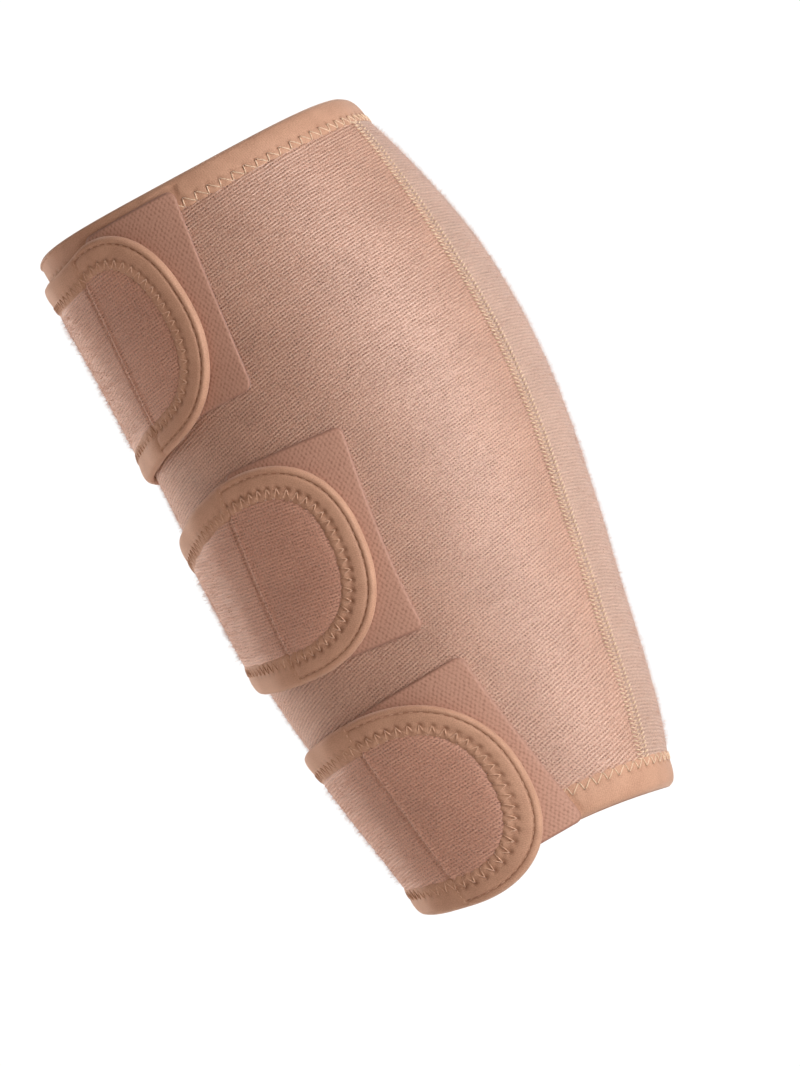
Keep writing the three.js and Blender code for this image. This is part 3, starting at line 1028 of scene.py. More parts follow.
@dataclass(frozen=True)
class NapFibre:
    """Single raised fibres of the knit: pale and see-through, so that they glow along the outline."""

    name: str = "raised_nap_fibre"
    colour: str = "F9E2D6"
    see_through: float = 0.55

    def material(self) -> Material:
        """Builds the material.

        Returns:
            The material.
        """
        material, tree = new_material(self.name)
        matt = add(tree, "ShaderNodeBsdfDiffuse", {"Color": linear(self.colour)})
        lit = add(tree, "ShaderNodeBsdfTranslucent", {"Color": linear(self.colour)})
        both = add(tree, "ShaderNodeMixShader", {0: self.see_through, 1: matt.outputs[0], 2: lit.outputs[0]})
        add(tree, "ShaderNodeOutputMaterial", {"Surface": both.outputs[0]})
        return material


# Panels


@dataclass(frozen=True)
class TapedEdge:
    """How cloth is tucked into the folded tape along its edge."""

    hidden: float = 3.0
    tuck_from: float = 9.2
    tuck_to: float = 10.8
    tuck: float = 0.9
    spare: float = 0.3

    def dip(self, depth: Array) -> Array:
        """How far the cloth's face dips under the tape, by depth in from the edge."""
        return self.tuck * (1.0 - ease(depth, self.tuck_from, self.tuck_to))


TAPED = TapedEdge()


class Grain(Enum):
    """Line round which a panel's knit is laid out."""

    SHIN = 0.0
    CALF = math.pi


def knit_map(s: Array, z: Array, degrees: Array | float) -> Array:
    """Places on the knit for a piece whose rows climb by an angle.

    Args:
        s: Places round the leg.
        z: Heights.
        degrees: How steeply the rows climb.

    Returns:
        Places along and across the rows in metres.
    """
    climb = np.radians(degrees)
    along = s * np.cos(climb) + z * np.sin(climb)
    across = z * np.cos(climb) - s * np.sin(climb)
    return np.stack([along, across], axis=-1) * MM


def painted_seam_shade(distance: Array) -> Array:
    """1 on a flat seam's band, where the knit gets painted shade under the loops, 0 away from it, by distance
    from the seam's line.
    """
    return 1.0 - ease(distance, SEAM_HALF - SEAM_FADE_IN, SEAM_HALF + SEAM_FADE_OUT)


# Columns of a panel: shares of their number, and of the panel's width that they have reached.
CALF_COLUMNS = ((0.0, 0.25, 0.75, 1.0), (0.0, 0.1, 0.9, 1.0))
SHIN_COLUMNS = ((0.0, 0.86, 1.0), (0.0, 0.95, 1.0))
# Share of a patch's cover from which the cloth counts as covered.
COVERED = 0.01


@dataclass
class WrapPanel:
    """A panel of the first layer, between two lines down the leg.

    The knit's rows climb by the two angles of row_climb below and above the heights of climb_between.
    """

    name: str
    grain: Grain
    columns: int
    row_climb: tuple[float, float]
    climb_between: tuple[float, float] = (-80.0, 40.0)
    rows: int = 156
    seam_lap: float = 0.08
    seam_band: float = 3.4
    seam_fade: float = 1.0
    seam_rise: float = 0.15
    seam_groove: Ripple = Ripple(height=-0.06, away=0.2, width=0.6)
    bare_past_tape: float = 0.8
    uneven: float = 0.09
    uneven_size: float = 34.0
    seed: int = 3

    @property
    def between_seams(self) -> bool:
        """True for the panel with a flat seam on both sides."""
        return self.grain is Grain.CALF

    def lines(self, z: Array) -> tuple[Array, Array]:
        """Finds the lines between which the panel lies.

        Args:
            z: Heights.

        Returns:
            Turns at which the panel starts and ends at each height.
        """
        lap, seam = self.seam_lap / FORM.radius(z), FORM.seam(z)
        if self.between_seams:
            return seam - lap, FULL_TURN - seam + lap
        return SHIN_PANEL_END + 0.0 * z, seam + lap

    def columns_at(self) -> Array:
        """Share of the panel's width at each column, closer together beside a seam."""
        share = np.linspace(0.0, 1.0, self.columns + 1)
        return np.interp(share, *(CALF_COLUMNS if self.between_seams else SHIN_COLUMNS))

    def seam_relief(self, distance: Array) -> Array:
        """Raised band along a flat seam, with a groove at its edge, by distance from the seam."""
        band = self.seam_rise * (1.0 - ease(distance, self.seam_band - self.seam_fade, self.seam_band))
        return band + self.seam_groove.at(distance - self.seam_band)

    def open_face(self, s: Array, z: Array, depth: Array) -> Array:
        """1 where the panel's face shows, 0 where tape, tabs or patches lie over it.

        Args:
            s: Places round the leg.
            z: Heights.
            depth: Depths in from the rims.

        Returns:
            1 or 0 for each place.
        """
        points = np.stack([s.ravel(), z.ravel()], axis=1)
        tabbed = inside_outline(points, tab_panel_edge()).reshape(s.shape)
        bare = (depth > TAPE_WIDTH + self.bare_past_tape) & ~tabbed
        for patch in PATCHES:
            bare &= patch.cover(s, z) < COVERED
        return bare.astype(float)

    def build(self, material: Material) -> Piece:
        """Makes the panel.

        Args:
            material: Its finish.

        Returns:
            The panel's object.
        """
        grid = GridMesh(self.columns, self.rows)
        share = self.columns_at()[:, None]
        rise = np.linspace(0.0, 1.0, self.rows + 1)[None, :]
        low_line, high_line = self.lines(np.array(FORM.bottom)), self.lines(np.array(FORM.top))
        bottom = FORM.bottom_rim(mix(*low_line, share))
        top = FORM.top_rim(mix(*high_line, share))
        z = mix(bottom + TAPED.hidden, top - TAPED.hidden, rise)
        start, end = self.lines(z)
        turn = mix(start, end, share)
        radius = FORM.radius(z)
        depth = np.minimum(top - z, z - bottom)
        offset = -TAPED.dip(depth) + self.uneven * wobble(turn * radius, z, self.uneven_size, self.seed)
        beside = (end - turn) * radius
        if self.between_seams:
            beside = np.minimum(beside, (turn - start) * radius)
        offset += self.seam_relief(beside)
        climb = mix(*self.row_climb, ease(z, *self.climb_between))
        grid.lay(FORM.place(turn, z, offset), knit_map((turn - self.grain.value) * radius, z, climb))
        grid.note("open", self.open_face(turn * radius, z, depth))
        # The seam band, which the knit's finish darkens with painted shade.
        grid.note("painted_seam_shade", painted_seam_shade(beside))
        grid.close(caps=False)
        panel = grid.piece(self.name, material)
        thicken(panel, STACK.panel - TAPED.tuck - TAPED.spare)
        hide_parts(self.name)
        return panel


def tab_panel_edge(count: int = 60) -> Array:
    """Draws the tab panel's bound edge from the far seam's upper to its lower end, in cloth lengths.

    Args:
        count: Number of points on each rim.

    Returns:
        The points, a row each.
    """
    top, low = np.array(FORM.top), np.array(FORM.bottom)
    top_turn = np.linspace(-float(FORM.seam(top)), ROOT_S / FORM.radius(top), count)
    low_turn = np.linspace(ROOT_S / FORM.radius(low), -float(FORM.seam(low)), count)
    top_z, low_z = FORM.top_rim(top_turn), FORM.bottom_rim(low_turn)
    lines = [np.stack([top_turn * FORM.radius(top_z), top_z], axis=1)]
    for i, tab in enumerate(TABS):
        lines.append(tab.outline())
        if i + 1 < len(TABS):
            lines.append(notch_line(tab, TABS[i + 1]))
    lines.append(np.stack([low_turn * FORM.radius(low_z), low_z], axis=1))
    return np.concatenate(lines)


# A place round the leg that is well past the far seam.
FAR_AWAY = -400.0


def inside_outline(points: Array, edge: Array) -> Array:
    """True for each point between an edge and the far side of the leg.

    Args:
        points: Points, a row each.
        edge: Points of the edge, a row each, from its upper to its lower end.

    Returns:
        True or false for each point.
    """
    away = np.array([[FAR_AWAY, edge[-1, 1]], [FAR_AWAY, edge[0, 1]]])
    outline = np.concatenate([edge, away])
    result = np.zeros(len(points), bool)
    for a, b in zip(outline, np.roll(outline, -1, axis=0)):
        if a[1] != b[1]:
            spans = (points[:, 1] < a[1]) != (points[:, 1] < b[1])
            crossing = a[0] + (points[:, 1] - a[1]) * (b[0] - a[0]) / (b[1] - a[1])
            result ^= spans & (points[:, 0] < crossing)
    return result


@dataclass
class TabPanel:
    """The panel on the far side that is cut into three tabs, which come round over the shin.

    Columns are closer together between the places fine_from and fine_to, where the tabs' stitched lines run:
    they reach these places at the shares coarse_share and fine_share of their number.
    """

    columns: int = 170
    rows: int = 164
    low: float = -140.0
    high: float = 126.0
    seam_gap: float = 0.15
    fine_from: float = 27.0
    fine_to: float = 55.0
    reach: float = 88.0
    coarse_share: float = 0.52
    fine_share: float = 0.9
    cut: float = 3.0
    batches: int = 40
    bare_past_tape: float = 1.2
    row_climb: tuple[float, float, float] = (2.8, -9.7, 2.4)
    climb_run: float = 20.0
    uneven: float = 0.1
    uneven_size: float = 30.0
    seed: int = 5

    def trim(self, s: Array, z: Array) -> tuple[Array, Array, Array, Array]:
        """Cuts a field of places to the panel's outline.

        Args:
            s: Places round the leg, by column and row.
            z: Heights, by column and row.

        Returns:
            The places and heights with those at the cut moved onto it, the mask of what is kept, and the
            depth in from the bound edge.
        """
        edge = tab_panel_edge()
        points = np.stack([s.ravel(), z.ravel()], axis=1)
        depth = np.empty(len(points))
        nearest = np.empty_like(points)
        for part in np.array_split(np.arange(len(points)), self.batches):
            far = np.linalg.norm(points[part, None] - edge[None], axis=2)
            best = far.argmin(axis=1)
            depth[part] = far[np.arange(len(part)), best]
            nearest[part] = edge[best]
        kept = (inside_outline(points, edge) & (depth > self.cut)).reshape(s.shape)
        padded = np.pad(kept, 1)
        padded[0] = padded[1]
        columns, rows = s.shape
        around = [padded[i:i + columns, j:j + rows] for i in range(3) for j in range(3)]
        border = (kept & ~np.logical_and.reduce(around)).ravel()
        pull = (nearest - points) * (1.0 - self.cut / np.maximum(depth, self.cut))[:, None]
        points = points + np.where(border[:, None], pull, 0.0)
        depth = np.where(border, self.cut, depth)
        return points[:, 0].reshape(s.shape), points[:, 1].reshape(s.shape), kept, depth.reshape(s.shape)

    def field(self) -> tuple[Array, Array]:
        """Lays out the panel before it is cut.

        Returns:
            Places round the leg and heights, by column and row.
        """
        share = np.linspace(0.0, 1.0, self.columns + 1)[:, None]
        z = np.linspace(self.low, self.high, self.rows + 1)[None, :] + 0.0 * share
        seam = -(FORM.seam(z) * FORM.radius(z) - self.seam_gap)
        coarse = mix(seam, self.fine_from, share / self.coarse_share)
        fine = np.interp(share, [self.coarse_share, self.fine_share, 1.0],
                         [self.fine_from, self.fine_to, self.reach])
        return np.where(share < self.coarse_share, coarse, fine), z

    @staticmethod
    def tab_at(z: Array) -> Array:
        """Number of the tab at each height, from the top."""
        splits = [(above.lower_root + below.upper_root) / 2.0 for above, below in zip(TABS, TABS[1:])]
        return np.sum([z < split for split in splits], axis=0)

    def build(self, material: Material) -> Piece:
        """Makes the panel.

        Args:
            material: Its finish.

        Returns:
            The panel's object.
        """
        grid = GridMesh(self.columns, self.rows)
        s, z, kept, depth = self.trim(*self.field())
        turn = s / FORM.radius(z)
        uneven = self.uneven * wobble(s, z, self.uneven_size, self.seed)
        offset = STACK.outer(turn) - TAPED.dip(depth) + uneven
        climb = np.zeros_like(s)
        number = self.tab_at(z)
        for i, tab in enumerate(TABS):
            here = number == i
            offset += np.where(here, tab.lift(s, z) + tab.line_relief(s, z), 0.0)
            climb += np.where(here, self.row_climb[i], 0.0)
        climb *= ease(s, ROOT_S, ROOT_S + self.climb_run)
        grid.lay(FORM.place(turn, z, offset), knit_map(s, z, climb))
        grid.note("open", (depth > TAPE_WIDTH + self.bare_past_tape).astype(float))
        # The seam band, which the knit's finish darkens with painted shade.
        grid.note("painted_seam_shade", painted_seam_shade(s + FORM.seam(z) * FORM.radius(z)))
        grid.keep(kept)
        grid.close(caps=False)
        panel = grid.piece("tab_panel", material)
        thicken(panel, STACK.tab - TAPED.tuck)
        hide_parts("tab_panel")
        return panel


@dataclass
class Nap:
    """Short fibres that stand off a panel's open face, each a thin three-sided spike."""

    count: int
    seed: int
    shortest: float = 0.5
    longest: float = 2.0
    radius: float = 0.028
    lean: float = 0.54
    sink: float = 0.1
    foot_angles: tuple[float, float, float] = (0.0, 2.1, 4.2)

    def build(self, panel: Piece, name: str, material: Material) -> Piece:
        """Makes the fibres of a panel.

        Args:
            panel: The panel, with its open face marked.
            name: Name of the fibres' object.
            material: Their finish.

        Returns:
            The fibres' object.
        """
        mesh, rng = panel.data, np.random.default_rng(self.seed)
        size = len(mesh.polygons)
        corners = np.empty(size * 4, int)
        mesh.polygons.foreach_get("vertices", corners)
        corners = corners.reshape(size, 4)
        spots = np.empty(len(mesh.vertices) * 3)
        mesh.vertices.foreach_get("co", spots)
        spots = spots.reshape(-1, 3)
        bare = np.empty(len(mesh.vertices))
        mesh.attributes["open"].data.foreach_get("value", bare)
        faces, areas = np.empty(size * 3), np.empty(size)
        mesh.polygons.foreach_get("normal", faces)
        mesh.polygons.foreach_get("area", areas)
        weight = areas * (bare[corners].min(axis=1) > 0.5)
        pick = rng.choice(size, self.count, p=weight / weight.sum())
        u, v = rng.random((2, self.count, 1))
        square = spots[corners[pick]]
        root = mix(mix(square[:, 0], square[:, 1], u), mix(square[:, 3], square[:, 2], u), v)
        up = faces.reshape(size, 3)[pick]
        way = up + self.lean * rng.normal(size=(self.count, 3))
        way /= np.linalg.norm(way, axis=1, keepdims=True)
        side = np.cross(way, rng.normal(size=(self.count, 3)))
        side /= np.linalg.norm(side, axis=1, keepdims=True)
        across = np.cross(way, side)
        long = rng.uniform(self.shortest, self.longest, (self.count, 1)) * MM
        wide = self.radius * MM
        base = root - up * self.sink * MM
        feet = [base + wide * (math.cos(a) * side + math.sin(a) * across) for a in self.foot_angles]
        points = np.stack([*feet, base + way * long], axis=1).reshape(-1, 3)
        first = 4 * np.arange(self.count)[:, None]
        sides = np.array([[0, 1, 3], [1, 2, 3], [2, 0, 3], [2, 1, 0]])
        triangles = (first[:, None] + sides[None]).reshape(-1, 3)
        fibres = bpy.data.meshes.new(name)
        fibres.from_pydata(points.tolist(), [], triangles.tolist())
        piece = dressed(name, fibres, material)
        return piece


# Folded tape


class TapeCorner(NamedTuple):
    """Corner of the folded tape's crown: depth in from the fold, and height off the cloth's face."""

    depth: float
    height: float


PLAIN_CROWN = (
    TapeCorner(depth=11.2, height=-0.45),
    TapeCorner(depth=10.6, height=0.08),
    TapeCorner(depth=9.2, height=0.36),
    TapeCorner(depth=7.4, height=0.5),
    TapeCorner(depth=5.6, height=0.75),
    TapeCorner(depth=3.8, height=0.85),
    TapeCorner(depth=2.2, height=0.7),
    TapeCorner(depth=1.0, height=0.25),
    TapeCorner(depth=0.2, height=-0.7),
)
LIPPED_CROWN = (
    TapeCorner(depth=11.2, height=-0.45),
    TapeCorner(depth=10.4, height=0.1),
    TapeCorner(depth=9.0, height=0.45),
    TapeCorner(depth=7.6, height=0.35),
    TapeCorner(depth=6.7, height=0.62),
    TapeCorner(depth=5.4, height=0.78),
    TapeCorner(depth=3.9, height=0.8),
    TapeCorner(depth=2.85, height=0.62),
    TapeCorner(depth=2.3, height=0.15),
    TapeCorner(depth=1.9, height=0.55),
    TapeCorner(depth=1.15, height=0.63),
    TapeCorner(depth=0.6, height=0.25),
    TapeCorner(depth=0.2, height=-0.7),
)
TAPE_INSIDE = (
    TapeCorner(depth=0.25, height=-0.5),
    TapeCorner(depth=1.1, height=0.0),
    TapeCorner(depth=3.5, height=0.15),
    TapeCorner(depth=8.0, height=0.1),
    TapeCorner(depth=11.2, height=0.0),
)
# Depths in from the fold at which a tape's crown is drawn, closest together at its lip and groove.
CROWN_DEPTHS = np.concatenate([
    np.linspace(11.2, 3.4, 22), np.linspace(3.1, 1.5, 10), np.linspace(1.25, 0.2, 7)])
CROWN_SAMPLES = 300
INSIDE_ROWS = 9


def crown_height(corners: tuple[TapeCorner, ...], depth: Array) -> Array:
    """Height of a tape's crown at depths in from its fold."""
    line = smooth_line(np.array(corners), CROWN_SAMPLES)[::-1]
    return np.interp(depth, line[:, 0], line[:, 1])


class EdgeLine:
    """A bound edge of the cloth, as places at a distance along it and a depth in from it.

    groove is the depth of the groove beside the tape's lip.
    """

    length: float
    groove: float = 2.3

    def at(self, distance: Array, depth: Array) -> tuple[Array, Array]:
        """Finds places along the edge.

        Args:
            distance: Distances along it.
            depth: Depths in from it.

        Returns:
            Turn and height of each place.
        """
        raise NotImplementedError

    def faces(self, turn: Array, z: Array) -> tuple[Array, Array]:
        """Measures the cloth in the tape.

        Args:
            turn: Turns round the leg.
            z: Heights.

        Returns:
            Height of the cloth's outer face and its thickness at each place.
        """
        raise NotImplementedError

    def crown(self, turn: Array, z: Array, depth: Array) -> Array:
        """Measures the tape's crown.

        Args:
            turn: Turns round the leg.
            z: Heights.
            depth: Depths in from the edge.

        Returns:
            Height of the crown over the cloth's outer face at each place.
        """
        raise NotImplementedError

    def lipped(self, turn: Array, z: Array) -> Array:
        """1 where the tape has a lip along its fold, 0 where it is plain."""
        return np.zeros_like(turn)

    def top(self, turn: Array, z: Array, depth: Array) -> Array:
        """Height of the tape's outer face."""
        return self.faces(turn, z)[0] + self.crown(turn, z, depth)


class RimLine(EdgeLine):
    """The upper or lower rim, once round the leg, from the shin panel's hidden end to a tab's root."""

    samples: int = 400
    tab_margin: float = 6.0
    press_from: float = 4.0
    press_to: float = 2.0
    pressed_height: float = 0.12

    def __init__(self, upper: bool) -> None:
        """Measures the rim.

        Args:
            upper: True for the upper rim.
        """
        self.upper = upper
        level = np.array(FORM.top if upper else FORM.bottom)
        end = FULL_TURN + (ROOT_S - STACK.clearance) / float(FORM.radius(level))
        self.turns = np.linspace(SHIN_PANEL_END, end, self.samples)
        self.lengths = lengths_along(FORM.place(self.turns, self.height(self.turns), 0.0) / MM)
        self.length = float(self.lengths[-1])

    def height(self, turn: Array) -> Array:
        """Height of the rim at each turn."""
        return FORM.top_rim(turn) if self.upper else FORM.bottom_rim(turn)

    def at(self, distance: Array, depth: Array) -> tuple[Array, Array]:
        """Finds places along the rim.

        Args:
            distance: Distances along it.
            depth: Depths in from it.

        Returns:
            Turn and height of each place.
        """
        turn = np.interp(distance, self.lengths, self.turns)
        turn, depth = np.broadcast_arrays(turn, depth)
        return turn, self.height(turn) + (-depth if self.upper else depth)

    def faces(self, turn: Array, z: Array) -> tuple[Array, Array]:
        """Height of the cloth's outer face and its thickness at those places."""
        return STACK.outer(turn - FULL_TURN), STACK.thickness(turn - FULL_TURN)

    def crown(self, turn: Array, z: Array, depth: Array) -> Array:
        """Measures the tape's crown, which is pressed flat under the tabs and hook patches.

        Args:
            turn: Turns round the leg.
            z: Heights.
            depth: Depths in from the rim.

        Returns:
            Height of the crown over the cloth's outer face at each place.
        """
        s = turn * FORM.radius(z)
        pressed = np.max([patch.cover(s, z) for patch in PATCHES], axis=0)
        for tab in TABS:
            beside = np.abs((z - tab.z) / (tab.half + self.tab_margin)) < 1.0
            tip = tab.s + tab.reach
            under = beside * (1.0 - ease(s, tip - self.press_from, tip + self.press_to))
            pressed = np.maximum(pressed, under)
        height = crown_height(PLAIN_CROWN, depth)
        return mix(height, np.minimum(height, self.pressed_height), pressed)


class TabLine(EdgeLine):
    """The edge of one tab, and of the notch below it."""

    sample: float = 0.8
    smoothing: int = 5
    lip_from: float = -0.6
    lip_to: float = 0.8

    def __init__(self, tab: Tab, below: Tab | None) -> None:
        """Measures the edge.

        Args:
            tab: The tab.
            below: The next tab below it, if there is one.
        """
        self.tab = tab
        points = tab.outline()
        if below is not None:
            points = np.concatenate([points, notch_line(tab, below)[1:-1]])
        lengths = lengths_along(points)
        self.length = float(lengths[-1])
        self.steps = np.linspace(0.0, self.length, int(self.length / self.sample))
        self.points = np.stack([np.interp(self.steps, lengths, points[:, k]) for k in (0, 1)], axis=1)
        ahead = np.gradient(self.points, axis=0)
        ahead /= np.linalg.norm(ahead, axis=1, keepdims=True)
        inward = np.stack([ahead[:, 1], -ahead[:, 0]], axis=1)
        kernel, side = np.ones(self.smoothing) / self.smoothing, self.smoothing // 2
        padded = np.pad(inward, ((side, side), (0, 0)), mode="edge")
        inward = np.stack([np.convolve(padded[:, k], kernel, mode="valid") for k in (0, 1)], axis=1)
        self.inward = inward / np.linalg.norm(inward, axis=1, keepdims=True)

    def at(self, distance: Array, depth: Array) -> tuple[Array, Array]:
        """Finds places along the edge.

        Args:
            distance: Distances along it.
            depth: Depths in from it.

        Returns:
            Turn and height of each place.
        """
        s, z = (np.interp(distance, self.steps, self.points[:, k])
                + depth * np.interp(distance, self.steps, self.inward[:, k]) for k in (0, 1))
        return s / FORM.radius(z), z

    def faces(self, turn: Array, z: Array) -> tuple[Array, Array]:
        """Height of the cloth's outer face and its thickness at those places."""
        s = turn * FORM.radius(z)
        return STACK.outer(turn) + self.tab.lift(s, z), STACK.thickness(turn)

    def crown(self, turn: Array, z: Array, depth: Array) -> Array:
        """Measures the tape's crown, which has a lip past the tab's stitched line.

        Args:
            turn: Turns round the leg.
            z: Heights.
            depth: Depths in from the edge.

        Returns:
            Height of the crown over the cloth's outer face at each place.
        """
        plain, lipped = crown_height(PLAIN_CROWN, depth), crown_height(LIPPED_CROWN, depth)
        away = self.tab.line_distance(turn * FORM.radius(z), z)
        return mix(plain, lipped, self.lipped(turn, z)) + LINE_DENT.at(away)

    def lipped(self, turn: Array, z: Array) -> Array:
        """1 past the tab's stitched line, 0 before it."""
        return ease(self.tab.line_distance(turn * FORM.radius(z), z), self.lip_from, self.lip_to)


@dataclass
class Binding:
    """Folded tape along one edge, with its zigzag stitch.

    The zigzag runs between the depths zigzag_low and zigzag_high. Its points pull the tape in by dent where
    the tape has a lip and by plain_dent elsewhere, and the tape puffs up between them. The tape's finish lays
    painted shade in those dents, in the groove beside the lip and in the valley at 7.5 mm in.
    """

    name: str
    line: EdgeLine
    pitch: float
    step: float = 0.85
    first: float = 2.0
    zigzag_low: float = 10.7
    zigzag_high: float = 7.5
    rise_share: float = 0.42
    dent: float = 0.5
    plain_dent: float = 0.5
    dent_length: float = 0.75
    low_dent_width: float = 0.8
    high_dent_width: float = 0.75
    puff: float = 0.35
    puff_depth: float = 9.3
    puff_width: float = 1.2
    uneven: float = 0.07
    uneven_size: float = 12.0
    seed: int = 11
    groove_shade: Ripple = Ripple(height=1.0, away=0.0, width=0.32)
    lip_shade: Ripple = Ripple(height=0.3, away=7.5, width=0.9)
    # Strength of the painted shade in the stitches' dents and in the groove and valley.
    dent_shade_share: float = 0.35
    valley_shade_share: float = 0.45
    stitch_clearance: float = 0.02
    groove_first: float = 1.0
    groove_pitch: float = 3.2
    groove_sewn: float = 0.6
    groove_clearance: float = 0.03
    groove_lip: float = 0.95

    @property
    def rise(self) -> float:
        """Length sewn between a zigzag's point near the cloth and its next point near the fold."""
        return self.pitch * self.rise_share

    def sewn(self) -> tuple[Array, Array]:
        """Measures the line that is sewn, which is shorter than the fold where the edge turns.

        Returns:
            Distances along the edge, and the length sewn up to each of them.
        """
        distance = np.linspace(0.0, self.line.length, int(self.line.length / self.step) + 1)
        middle = np.full(len(distance), (self.zigzag_low + self.zigzag_high) / 2.0)
        turn, z = self.line.at(distance, middle)
        return distance, lengths_along(FORM.place(turn, z, 0.0) / MM)

    def zigzag(self) -> tuple[Array, Array]:
        """Finds the zigzag's points, evenly spaced along the sewn line.

        Returns:
            Distances along the edge of the points near the cloth, and of those near the fold.
        """
        distance, sewn = self.sewn()
        low = np.arange(self.first, sewn[-1] - self.first - self.pitch, self.pitch)
        return np.interp(low, sewn, distance), np.interp(low + self.rise, sewn, distance)

    def pull(self, sewn: Array, depth: Array) -> Array:
        """How strongly the stitches pull the tape in.

        Args:
            sewn: Lengths along the sewn line.
            depth: Depths in from the fold.

        Returns:
            The pull, from 0 to about 1.
        """
        half = self.pitch / 2.0
        starts = (self.first, self.first + self.rise)
        near, far = ((sewn - start + half) % self.pitch - half for start in starts)
        low = bell(near, self.dent_length) * bell(depth - self.zigzag_low, self.low_dent_width)
        return low + bell(far, self.dent_length) * bell(depth - self.zigzag_high, self.high_dent_width)

    def build(self, material: Material) -> Piece:
        """Makes the tape.

        Args:
            material: Its finish.

        Returns:
            The tape's object.
        """
        columns = int(self.line.length / self.step)
        inside = smooth_line(np.array(TAPE_INSIDE), INSIDE_ROWS)
        depth = np.concatenate([CROWN_DEPTHS, [0.0], inside[:, 0], CROWN_DEPTHS[:1]])[None, :]
        rows = depth.shape[1] - 1
        grid = GridMesh(columns, rows)
        distance = np.linspace(0.0, self.line.length, columns + 1)[:, None]
        turn, z = self.line.at(distance, depth)
        outer, thick = self.line.faces(turn, z)
        sewn = np.interp(distance, *self.sewn())
        pulled = self.pull(sewn, depth)
        between = np.cos(FULL_TURN * (sewn - self.first - self.rise) / self.pitch)
        puffs = between * bell(depth - self.puff_depth, self.puff_width)
        lipped = self.line.lipped(turn, z)
        dent = mix(self.plain_dent, self.dent, lipped) * (pulled + self.puff * puffs)
        relief = self.line.crown(turn, z, depth) - dent
        relief = relief + self.uneven * wobble(distance, depth, self.uneven_size, self.seed)
        offset = outer + relief
        fold, last = len(CROWN_DEPTHS), len(CROWN_DEPTHS) + 1
        offset[:, fold] = (outer - thick / 2.0)[:, fold]
        offset[:, last:rows] = (outer - thick)[:, last:rows] - inside[None, :, 1]
        around = lengths_along(np.stack([depth[0], offset[columns // 2]], axis=1))
        uv = np.stack(np.broadcast_arrays(distance, around[None, :]), axis=-1) * MM
        grid.lay(FORM.place(turn, z, offset), uv)
        # Painted shade for the tape's finish: in the groove beside the lip, the valley at 7.5 mm in, and the
        # stitches' dents.
        groove_valley_shade = lipped * (self.groove_shade.at(depth - self.line.groove) + self.lip_shade.at(depth))
        grid.note("stitched", self.dent_shade_share * pulled + self.valley_shade_share * groove_valley_shade)
        grid.close(caps=True)
        tape = grid.piece(self.name, material)
        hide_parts(self.name)
        return tape

    def stitch(self, thread: Thread, material: Material) -> Piece:
        """Makes the zigzag stitch.

        Args:
            thread: The thread.
            material: Its finish.

        Returns:
            The stitches' object.
        """
        low, high = self.zigzag()
        inner = np.stack(self.line.at(low, np.full(len(low), self.zigzag_low)), axis=1)
        outer = np.stack(self.line.at(high, np.full(len(high), self.zigzag_high)), axis=1)
        starts, ends = np.concatenate([inner, outer[:-1]]), np.concatenate([outer, inner[1:]])
        strokes = (len(inner), len(inner) - 1)
        base = []
        for places, depths in ((starts, (self.zigzag_low, self.zigzag_high)),
                               (ends, (self.zigzag_high, self.zigzag_low))):
            top = self.line.top(places[:, 0], places[:, 1], np.repeat(depths, strokes))
            base.append(top + self.stitch_clearance)
        stitches = thread.strokes(f"{self.name}_stitch", starts, ends, np.stack(base, axis=1), material)
        return stitches

    def groove_stitch(self, thread: Thread, material: Material) -> Piece:
        """Makes the running stitch in the groove beside the tape's lip.

        Args:
            thread: The thread.
            material: Its finish.

        Returns:
            The stitches' object.
        """
        begin = np.arange(self.groove_first, self.line.length - self.groove_pitch, self.groove_pitch)
        depth = np.full(len(begin), self.line.groove)
        begin = begin[self.line.lipped(*self.line.at(begin, depth)) > self.groove_lip]
        depth = depth[:len(begin)]
        places, base = [], []
        for distance in (begin, begin + self.groove_sewn * self.groove_pitch):
            turn, z = self.line.at(distance, depth)
            places.append(np.stack([turn, z], axis=1))
            base.append(self.line.top(turn, z, depth) + self.groove_clearance)
        stitches = thread.strokes(f"{self.name}_groove_stitch", *places, np.stack(base, axis=1), material)
        return stitches


# Hook patches


